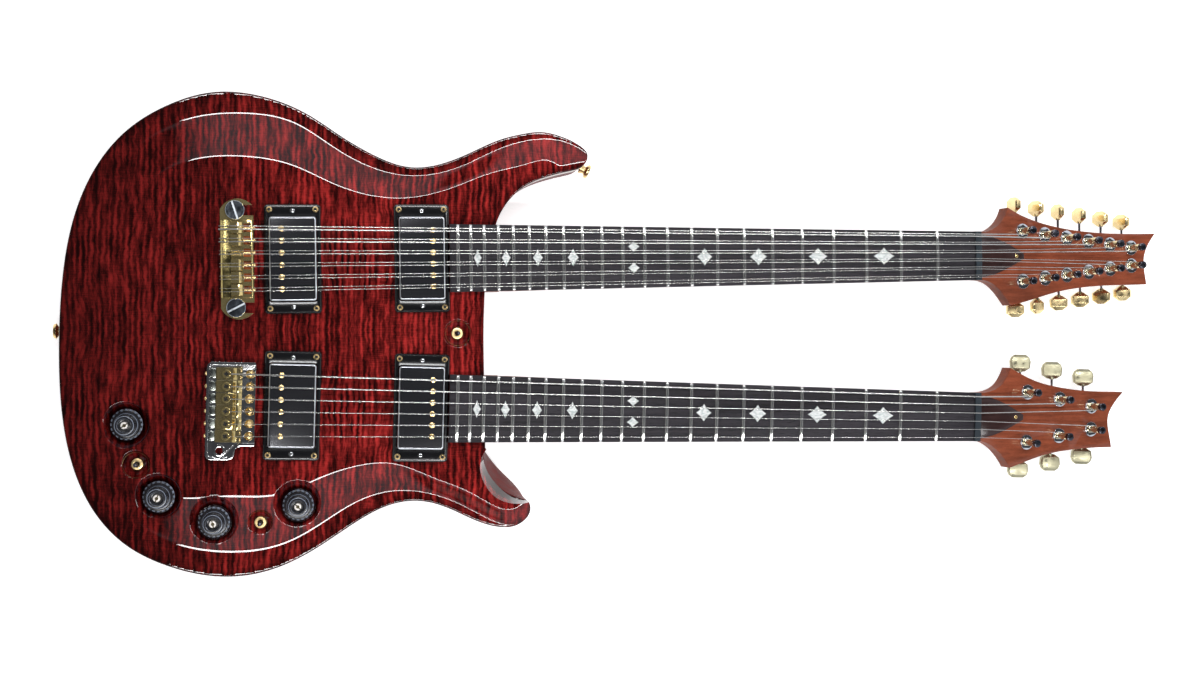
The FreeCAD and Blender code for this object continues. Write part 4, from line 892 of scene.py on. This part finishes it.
def body_pockets():
    """Room for the pickups, the necks and the tremolo, as one cutter each."""
    pockets = [neck_block(SIX, (-24.0 * MM, -31 * MM, 0), (-2 * MM, 31 * MM, OPEN_END))]
    for side in (TWELVE, SIX):
        for start, end, half, floor in (
                *((place - 20.5 * MM, place + 20.5 * MM, 36 * MM, 28 * MM)
                  for place in PICKUP_PLACES), (173 * MM, 246 * MM, 27.7 * MM, 21 * MM)):
            pockets.append(neck_block(side, (start, -half, floor), (end, half, OPEN_END)))
    return pockets


class GUITAR_OT_body_top(bpy.types.Operator):
    """Carves the flame maple top with its raised crown, rounded rim and dished recesses"""
    bl_idname = "guitar.body_top"
    bl_label = "Carved top"

    def execute(self, context):
        height = crown_height()
        low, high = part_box("body_top")
        centre, span = (low + high) / 2, high - low + Vector((8 * MM, 8 * MM, 0))
        bpy.ops.mesh.primitive_grid_add(x_subdivisions=int(span.x / TOP_CELL),
                                        y_subdivisions=int(span.y / TOP_CELL), size=1,
                                        location=(centre.x, centre.y, 0))
        top = context.active_object
        top.scale = (span.x, span.y, 1)
        bpy.context.view_layer.update()
        set_in_place(top)
        for corner in top.data.vertices:
            corner.co.z = height(corner.co.x, corner.co.y)

        def thicken():
            bpy.ops.mesh.select_all(action="DESELECT")
            bpy.ops.mesh.select_mode(type="EDGE")
            bpy.ops.mesh.select_non_manifold()
            bpy.ops.mesh.extrude_region_move(TRANSFORM_OT_translate={"value": (0, 0, -0.02)})
            bpy.ops.transform.resize(value=(1, 1, 0), center_override=(0, 0, TOP_FLOOR))
            bpy.ops.mesh.edge_face_add()
            bpy.ops.mesh.select_all(action="SELECT")
            bpy.ops.mesh.normals_make_consistent(inside=False)

        edit(top, thicken)
        cut(top, rim_tool(height, TOP_EDGE), "INTERSECT", "MANIFOLD")
        tools = body_pockets() + [scoop_tool()]
        tools += [dish_tool(height, shares, knob_cup(slope))
                  for shares, slope in zip(KNOB_SHARES, DISH_SLOPES)]
        tools += [dish_tool(height, shares, toggle_cup()) for shares in TOGGLE_SHARES]
        for tool in tools:
            cut(top, tool, solver="MANIFOLD")
        mark_edges(top)
        smooth(top, 38)
        stand_in(top, "body_top", "flame_maple_gloss", "carved_top")
        return {"FINISHED"}


def mark_edges(piece):
    """Stores each point's distance from the body's outline for the stain."""
    ring = outline_points(160)[0]
    tree = KDTree(len(ring))
    for index, (x, y) in enumerate(ring):
        tree.insert((x, y, 0), index)
    tree.balance()
    values = [tree.find((corner.co.x, corner.co.y, 0))[2] for corner in piece.data.vertices]
    edge = piece.data.attributes.new("edge", "FLOAT", "POINT")
    edge.data.foreach_set("value", values)


class GUITAR_OT_body_back(bpy.types.Operator):
    """Finishes the mahogany back and its cover plates"""
    bl_idname = "guitar.body_back"
    bl_label = "Back and covers"

    def execute(self, context):
        replace_node("body_back", "back_mahogany", limit=35)
        covers = replace_node("cover_plates", "cover_black", 0.3)
        paint(covers, "rod_cover_brown", lambda place: place.x > 0.5)
        spots = [head_matrix(side) @ Matrix.Translation((38.0 * MM, 0, 2.7 * MM))
                 @ Matrix.Rotation(0.8 * side, 4, "Z") for side in (TWELVE, SIX)]
        finish_piece(crossed_screws(spots, (1.7, 0.7), (2.2, 0.6, 0.5)), "rod_cover_screws",
                     "screw_brass")
        return {"FINISHED"}


# Necks and strings

class GUITAR_OT_necks(bpy.types.Operator):
    """Finishes the necks, the fingerboards and the nuts"""
    bl_idname = "guitar.necks"
    bl_label = "Necks and fingerboards"

    def execute(self, context):
        replace_node("necks", "neck_mahogany", 0.5, 3, 34)
        replace_node("fingerboards", "rosewood", 0.3)
        replace_node("nuts", "nut_slate")
        return {"FINISHED"}


class GUITAR_OT_frets(bpy.types.Operator):
    """Rounds the frets' crowns"""
    bl_idname = "guitar.frets"
    bl_label = "Frets"

    def execute(self, context):
        replace_node("frets", "fret_wire", 0.55, 3)
        return {"FINISHED"}


def fret_place(number):
    return SCALE / 2 ** (number / 12)


def inlay(half_length, half_width, side, x, y, pinch=0.86):
    """A pearl lozenge let into the fingerboard, its top on the board's arc."""
    bpy.ops.mesh.primitive_circle_add(vertices=48, radius=1, fill_type="NGON")
    piece = bpy.context.active_object
    for corner in piece.data.vertices:
        turn = math.atan2(corner.co.y, corner.co.x)
        reach = (abs(math.cos(turn)) ** pinch + abs(math.sin(turn)) ** pinch) ** (-1 / pinch)
        corner.co = Vector((x + half_length * reach * math.cos(turn),
                            y + half_width * reach * math.sin(turn), 0))
    edit(piece, lambda: bpy.ops.mesh.extrude_region_move(
        TRANSFORM_OT_translate={"value": (0, 0, 0.6 * MM)}))
    for corner in piece.data.vertices:
        corner.co.z += BOARD_TOP - camber(corner.co.y) - 0.57 * MM
    return set_in_place(piece, neck_matrix(side))


class GUITAR_OT_inlays(bpy.types.Operator):
    """Lets plain pearl lozenges into both fingerboards"""
    bl_idname = "guitar.inlays"
    bl_label = "Inlays"

    def execute(self, context):
        made = []
        for side in (TWELVE, SIX):
            spots = [(number, 0.30, 7.4 * MM, 0) for number in (3, 5, 7, 9, 15, 17, 19, 21)]
            spots += [(12, 0.27, 4.6 * MM, y) for y in (-9 * MM, 9 * MM)]
            for number, share, half_width, y in spots:
                low, high = fret_place(number), fret_place(number - 1)
                made.append(inlay((high - low) * share, half_width, side, (low + high) / 2, y))
        piece = joined(made)
        edit(piece, lambda: bpy.ops.mesh.normals_make_consistent(inside=False))
        finish_piece(piece, "pearl_inlays", "pearl_shell")
        return {"FINISHED"}


class GUITAR_OT_strings(bpy.types.Operator):
    """Finishes the strings, split into those of the twelve-string neck and those of the tremolo"""
    bl_idname = "guitar.strings"
    bl_label = "Strings"

    def execute(self, context):
        strings = welded_copy("strings", limit=40)
        lower = duplicate(strings, "strings_six")
        drop_points(strings, lambda place: place.y < 0)
        drop_points(lower, lambda place: place.y > 0)
        finish_piece(strings, "strings_twelve", "string_steel")
        finish_piece(lower, "strings_six", "string_steel", None)
        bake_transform(lower)
        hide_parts("strings")
        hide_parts("strings")
        return {"FINISHED"}


# Small turned and cut parts

def slotted(piece, matrices, length, width, depth, cross=False):
    """Cuts a slot or a cross, in millimetres, at each matrix's origin into what lies below."""
    a, b = length / 2, width / 2
    ring = ((a, -b), (a, b), (-a, b), (-a, -b))
    if cross:
        ring = ((a, -b), (a, b), (b, b), (b, a), (-b, a), (-b, b), (-a, b), (-a, -b), (-b, -b),
                (-b, -a), (b, -a), (b, -b))
    tool = skin("slot_tool", [[(x * MM, y * MM, z * MM) for x, y in ring] for z in (-depth, 1)])
    return cut(piece, copies(tool, matrices))


def screw_matrix(side, x, y, z, turn=0.0):
    return neck_matrix(side) @ Matrix.Translation((x, y, z)) @ Matrix.Rotation(turn, 4, "Z")


def screw_head(radius, height, foot=0.6):
    """A domed head whose crown is at the origin."""
    return turned(((0, -height - foot), (radius * 0.7, -height - foot), (radius * 0.7, -height),
                   (radius * 0.97, -height), (radius, -height * 0.75),
                   (radius * 0.94, -height * 0.4), (radius * 0.75, -height * 0.12),
                   (radius * 0.4, 0), (0, 0)), 24)


def crossed_screws(places, head, recess):
    """Domed screws, each with a cross in its head."""
    screws = slotted(copies(screw_head(*head), places), places, *recess, True)
    smooth(screws)
    return screws


def string_places(x=0.0):
    """How far each course lies from the neck's middle, from the bridge line to the nut."""
    spread = STRING_SPREAD + (36 * MM - STRING_SPREAD) * x / SCALE
    return [spread * (0.5 - number / 5) for number in range(6)]


def course_matrices(side, x, z, start=0.0, step=0.0, spread_at=0.0):
    """A matrix at each course of strings, each turned a step further than the last."""
    return [screw_matrix(side, x, y, z, start + step * number)
            for number, y in enumerate(string_places(spread_at))]


# Tuners

class GUITAR_OT_tuners(bpy.types.Operator):
    """Finishes the bushings, the gear cases, the posts with their slotted caps and the keys"""
    bl_idname = "guitar.tuners"
    bl_label = "Tuners"

    def execute(self, context):
        cases = replace_node("tuner_housings", "chrome", 0.4)
        for name, (side, finish, run, turns) in TUNERS.items():
            head = head_matrix(side)
            for number, turn in enumerate(turns, 1):
                post = f"post_{name}_{number}"
                centre = head_middle(post, head)
                widen_bushing(cases, head, centre)
                make_post(post, head, centre, number)
                make_key(f"key_{name}_{number}", head, finish, run, turn)
        return {"FINISHED"}


def head_middle(node, head):
    """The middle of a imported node's box, in the headstock's own axes."""
    low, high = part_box(node)
    return head.inverted() @ ((low + high) / 2)


def widen_bushing(cases, head, centre, inner=4 * MM, outer=5.8 * MM, share=0.24):
    """Spreads the flange of the bushing round a post, in front of the headstock."""
    back = head.inverted()
    for corner in cases.data.vertices:
        place = back @ corner.co
        run = Vector((place.x - centre.x, place.y - centre.y, 0))
        if place.z > -0.05 * MM and inner < run.length < outer:
            corner.co = head @ (place + share * run)


def make_key(node, head, finish, run, turn, longer=1.18):
    """A key with a longer button, turned on its own shaft as the photograph has it."""
    key = replace_node(node, finish, 0.3, 2, 20)
    centre = head_middle(node, head)
    key.data.transform(head.inverted())
    reach = max(abs(corner.co.y) for corner in key.data.vertices)
    for corner in key.data.vertices:
        past = abs(corner.co.y) - (reach - run)
        if past > -0.1 * MM:
            corner.co.y = math.copysign(reach - longer * (run - past), corner.co.y)
    shaft_end = reach - longer * run - 0.2 * MM
    paint(key, "chrome", lambda place: abs(place.y) < shaft_end)
    key.data.transform(head @ Matrix.Translation(centre)
                       @ Matrix.Rotation(math.radians(turn), 4, "Y")
                       @ Matrix.Translation(-centre))


def make_post(node, head, centre, number):
    """A dark post with a slotted locking cap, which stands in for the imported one."""
    post = welded_copy(node, 0.3)
    slotted(post, [head @ Matrix.Translation((centre.x, centre.y, 18.5 * MM))
                   @ Matrix.Rotation(0.7 * number, 4, "Z")], 7.4, 0.9, 1.0)
    smooth(post)
    stand_in(post, node, "post_brass")
    paint(post, "post_cap", lambda place: place.z > 14.4 * MM, head)


# Pickups and bridges

class GUITAR_OT_pickups(bpy.types.Operator):
    """Finishes the pickup covers and their rings, and sets the height screws"""
    bl_idname = "guitar.pickups"
    bl_label = "Pickups"

    def execute(self, context):
        covers = replace_node("pickup_covers", "pickup_nickel", 0.9, 3, 25)
        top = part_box("pickup_covers")[1].z
        paint(covers, "nickel_edge", lambda place: top - 0.8 * MM < place.z < top - 0.04 * MM)
        replace_node("pickup_rings", "ring_black", 0.3, 2, 25)
        middle = RING_SCREWS[1] - 1.2 * MM
        places = [screw_matrix(side, place, end * middle, 55.7 * MM, 0.4 * end)
                  for side in (TWELVE, SIX) for place in PICKUP_PLACES for end in (1, -1)]
        finish_piece(crossed_screws(places, (1.9, 0.9), (2.4, 0.6, 0.6)), "height_screws",
                     "screw_nickel")
        return {"FINISHED"}


class GUITAR_OT_bridges(bpy.types.Operator):
    """Finishes the wraparound bridge with its windows, and the tremolo with its small screws"""
    bl_idname = "guitar.bridges"
    bl_label = "Bridges"

    def execute(self, context):
        finish_wraparound()
        replace_node("tremolo_unit", "tremolo_nickel", 0.6, 3)
        finish_saddles()
        add_tremolo_screws()
        springs = welded_copy("tremolo_springs")
        smooth(springs)
        finish_piece(springs, "tremolo_springs_finished", "spring_steel", None)
        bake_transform(springs)
        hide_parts("tremolo_springs")
        return {"FINISHED"}


def finish_wraparound():
    """Opens a window in front of each saddle and runs its screw through it."""
    neck = neck_matrix(TWELVE)
    bridge = welded_copy("wraparound_bridge", 0.35)
    cut(bridge, joined([neck_block(TWELVE, (4.4 * MM, y - 3.3 * MM, 55.2 * MM),
                                   (10.2 * MM, y + 3.3 * MM, 60 * MM))
                        for y in string_places()]))
    smooth(bridge, 18)
    stand_in(bridge, "wraparound_bridge", "gold_plate")
    paint(bridge, "olive_gold", lambda place: place.x < -5.3 * MM, neck)
    paint(bridge, "copper_red", lambda place: 4 * MM < place.x < 10.6 * MM
          and 55 * MM < place.z < 57.45 * MM, neck)
    lay = Matrix.Rotation(math.pi / 2, 4, "Y")
    screw = turned(((0, -10.5), (0.95, -10.5), (0.95, -1.3), (1.55, -1.3), (1.7, -1.0),
                    (1.6, -0.2), (1.3, 0), (0, 0)), 20)
    screws = copies(screw, [course @ lay for course in
                            course_matrices(TWELVE, 13.7 * MM, 56.3 * MM)])
    smooth(screws)
    finish_piece(screws, "saddle_screws", "screw_brass")


def finish_saddles():
    """Cuts the recesses of the tremolo's saddles and sets their heels behind them."""
    saddles = welded_copy("tremolo_saddles", 0.3)
    locks = course_matrices(SIX, -9 * MM, 61.2 * MM, step=0.5)
    slotted(saddles, locks, 3.6, 1.5, 1.6, True)
    smooth(saddles, 18)
    stand_in(saddles, "tremolo_saddles", "saddle_brass")
    paint(saddles, "gold_plate", lambda place: place.z > 60.1 * MM
          and level_distance(place, locks) < 4 * MM)
    # Painted shade: the cross recesses of the lock screws are coloured near-black
    paint(saddles, "recess_dark", lambda place: 59.3 * MM < place.z < 61.0 * MM
          and level_distance(place, locks) < 2.3 * MM)
    a, b = 2.2 * MM, 3.9 * MM
    heel = skin("heel", [[(a, -b, z), (a, b, z), (-a, b, z), (-a, -b, z)] for z in (0, 2.9 * MM)])
    apply(heel, "BEVEL", width=0.5 * MM, segments=3)
    heels = copies(heel, course_matrices(SIX, -19.5 * MM, 55.05 * MM))
    smooth(heels)
    finish_piece(heels, "saddle_heels", "heel_nickel", "tremolo")


def add_tremolo_screws():
    """Sets two grub screws into each saddle and an intonation screw behind it."""
    spots = [screw_matrix(SIX, 2.1 * MM, y + side * 2.75 * MM, 60.7 * MM, 0.6 * y / MM)
             for y in string_places() for side in (1, -1)]
    lay = Matrix.Rotation(-math.pi / 2, 4, "Y")
    heads = copies(screw_head(1.9, 1.3), [course @ lay for course in
                                          course_matrices(SIX, -26.0 * MM, 56.9 * MM)])
    smooth(heads)
    screws = joined([crossed_screws(spots, (1.25, 0.6), (1.3, 0.6, 0.7)), heads])
    finish_piece(screws, "tremolo_set_screws", "screw_brass", "tremolo")


class GUITAR_OT_fasteners(bpy.types.Operator):
    """Cuts the recesses of the screws and the poles, and turns the slotted bridge studs"""
    bl_idname = "guitar.fasteners"
    bl_label = "Fasteners"

    def execute(self, context):
        piece = welded_copy("screws_studs_and_rods", 0.25)
        back = neck_matrix(TWELVE).inverted()
        drop_points(piece, lambda place: stud_distance(back @ place) < 8.5 * MM)
        corners = [screw_matrix(side, place + across * RING_SCREWS[0], end * RING_SCREWS[1],
                                56.0 * MM, 0.5 * across + end)
                   for side in (TWELVE, SIX) for place in PICKUP_PLACES
                   for across in (1, -1) for end in (1, -1)]
        slotted(piece, corners, 2.3, 0.7, 0.9, True)
        poles = []
        for side in (TWELVE, SIX):
            for place, way in zip(PICKUP_PLACES, (-1, 1)):
                x = place + way * 9 * MM
                poles += course_matrices(side, x, 59 * MM, place / MM, 0.8, x)
        poles += course_matrices(SIX, 9.6 * MM, 57.9 * MM, step=1.1)
        slotted(piece, poles, 6, 0.7, 0.5)
        smooth(piece)
        stand_in(piece, "screws_studs_and_rods", "screw_brass", "screws_and_rods_finished")
        # Painted shade: the cross recesses of the rings' corner screws are coloured near-black
        paint(piece, "recess_dark", lambda place: 54.6 * MM < place.z < 56.1 * MM
              and level_distance(place, corners) < 1.2 * MM)
        paint(piece, "spring_steel", lambda place: place.z < 40 * MM and place.x > -0.05
              and abs(place.y) < 0.09)
        studs = joined([make_stud(end, turn) for end, turn in ((1, -1.27), (-1, 0.47))])
        finish_piece(studs, "bridge_studs", "dark_chrome")
        # The slots' floors are a pale rough metal: partly bare metal where the slot is cut, partly
        # a painted highlight that shows the slot as a light line
        paint(studs, "slot_floor", lambda place: 58.9 * MM < place.z < 59.6 * MM
              and abs(abs((back @ place).y) - STUD_PLACE[1]) < 7.2 * MM)
        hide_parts("screws_studs_and_rods")
        replace_node("electrics", "nut_gold", 0.25)
        return {"FINISHED"}


def stud_distance(place):
    """How far a place in the twelve-string neck's axes lies from the nearer stud's axis."""
    return (Vector((place.x, abs(place.y))) - Vector(STUD_PLACE)).length


def make_stud(end, turn):
    """A bridge stud with a flange, a rounded head and a slot across it."""
    top = 60.6
    stud = turned(((0, 32.2), (3.9, 32.2), (3.9, 50.2), (7.0, 50.2), (7.0, 53.2), (3.9, 53.2),
                   (3.9, 57.4), (7.4, 57.4), (7.75, 57.75), (7.75, 59.9), (7.6, 60.3), (7.2, top),
                   (0, top)), 64)
    slotted(stud, [Matrix.Translation((0, 0, top * MM)) @ Matrix.Rotation(turn, 4, "Z")],
            18, 1.5, 1.5)
    smooth(stud)
    return set_in_place(stud, screw_matrix(TWELVE, STUD_PLACE[0], end * STUD_PLACE[1], 0))


# Knobs and toggles

class GUITAR_OT_controls(bpy.types.Operator):
    """Turns the stepped and notched knobs and finishes the toggle levers"""
    bl_idname = "guitar.controls"
    bl_label = "Knobs and toggles"

    def execute(self, context):
        for number, shares in enumerate(KNOB_SHARES, 1):
            make_knob(number, *body_place(shares))
        # The toggle levers take the near-black cap finish: dark metal, darkened further as painted
        # shade for the hole in the nut round each lever
        for number in range(1, 4):
            replace_node(f"toggle_lever_{number}", "post_cap")
        return {"FINISHED"}


def make_knob(number, x, y, notches=20):
    """A black knob with a notched skirt, ridges and a well, painted highlights along its edges,
    and its slotted shaft.
    """
    knob = turned((
        (0, 0), (12.4, 0), (12.7, 0.3), (12.7, 1.0), (12.5, 3.3), (12.2, 3.6), (11.0, 3.7),
        (10.8, 4.0), (10.6, 4.9), (10.2, 5.2), (9.3, 5.3), (9.0, 5.6), (8.85, 7.6), (8.7, 7.8),
        (7.9, 16.5), (7.55, 16.9), (7.2, 17.0), (5.9, 17.0), (5.5, 16.8), (5.4, 16.4),
        (5.4, 12.8), (5.0, 12.4), (0, 12.4)), 80)
    a, b, c = 11.35 * MM, 14 * MM, 1.05 * MM
    notch = skin("notch", [[(a, -c, z), (b, -c, z), (b, c, z), (a, c, z)]
                           for z in (1.3 * MM, 6 * MM)])
    cut(knob, copies(notch, [Matrix.Rotation(math.tau * step / notches, 4, "Z")
                             for step in range(notches)]))
    apply(knob, "BEVEL", width=0.12 * MM, segments=1, limit_method="ANGLE",
          angle_limit=math.radians(40))
    smooth(knob, 24)
    knob.data.materials.append(material_named("knob_black"))
    # Painted highlight: pale rings on the notch floors, the skirt's lip, a step and the well's
    # rims stand for light caught on the knob's edges
    bright = ((11.25, 13, 0.9, 2.0), (12.4, 13, 0.2, 3), (8.6, 9.2, 5.1, 6.5),
              (7.15, 7.7, 16.4, 17.5), (5.3, 5.7, 16.3, 17.5))
    paint(knob, "knob_edge",
          lambda place: any(inner < place.xy.length / MM < outer and low < place.z / MM < high
                            for inner, outer, low, high in bright))
    shaft = turned(((0, 12.2), (3.0, 12.2), (3.0, 15.6), (2.7, 15.95), (1.5, 16.0), (1.35, 15.8),
                    (1.3, 14.2), (0, 14.2)), 32)
    slotted(shaft, [Matrix.Translation((0, 0, 16 * MM)) @ Matrix.Rotation(0.6 * number, 4, "Z")],
            8, 0.9, 2.2)
    smooth(shaft)
    shaft.data.materials.append(material_named("shaft_metal"))
    paint(shaft, "post_brass", lambda place: place.z < 15.7 * MM and place.xy.length < 2.6 * MM)
    piece = set_in_place(joined([knob, shaft]), Matrix.Translation((x, y, 42.2 * MM)))
    node = f"knob_{number}"
    piece.name = piece.data.name = node + "_finished"
    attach(piece, node)
    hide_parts(node)


class GUITAR_PT_panel(bpy.types.Panel):
    """Lists the guitar's pieces and its settings"""
    bl_idname = "GUITAR_PT_panel"
    bl_label = "Double-neck guitar"
    bl_space_type = "VIEW_3D"
    bl_region_type = "UI"
    bl_category = "Guitar"

    def draw(self, context):
        for operator in OPERATORS:
            self.layout.operator(operator.bl_idname)
        for settings in (context.scene.guitar_studio, context.scene.guitar_wood,
                         context.scene.guitar_metal):
            for name in settings.bl_rna.properties.keys():
                if name not in ("rna_type", "name"):
                    self.layout.prop(settings, name)


SETTINGS = (StudioSettings, WoodSettings, MetalSettings)
OPERATORS = (
    GUITAR_OT_stage, GUITAR_OT_body_top, GUITAR_OT_body_back, GUITAR_OT_necks, GUITAR_OT_frets,
    GUITAR_OT_inlays, GUITAR_OT_strings, GUITAR_OT_tuners, GUITAR_OT_pickups, GUITAR_OT_bridges,
    GUITAR_OT_fasteners, GUITAR_OT_controls,
)


def register():
    for made in SETTINGS + OPERATORS + (GUITAR_PT_panel,):
        bpy.utils.register_class(made)
    bpy.types.Scene.guitar_studio = PointerProperty(type=StudioSettings)
    bpy.types.Scene.guitar_wood = PointerProperty(type=WoodSettings)
    bpy.types.Scene.guitar_metal = PointerProperty(type=MetalSettings)


def unregister():
    del bpy.types.Scene.guitar_metal
    del bpy.types.Scene.guitar_wood
    del bpy.types.Scene.guitar_studio
    for made in (GUITAR_PT_panel,) + OPERATORS[::-1] + SETTINGS[::-1]:
        bpy.utils.unregister_class(made)


def main():
    register()
    for operator in OPERATORS:
        group, name = operator.bl_idname.split(".")
        getattr(getattr(bpy.ops, group), name)()


if __name__ == "__main__":
    main()
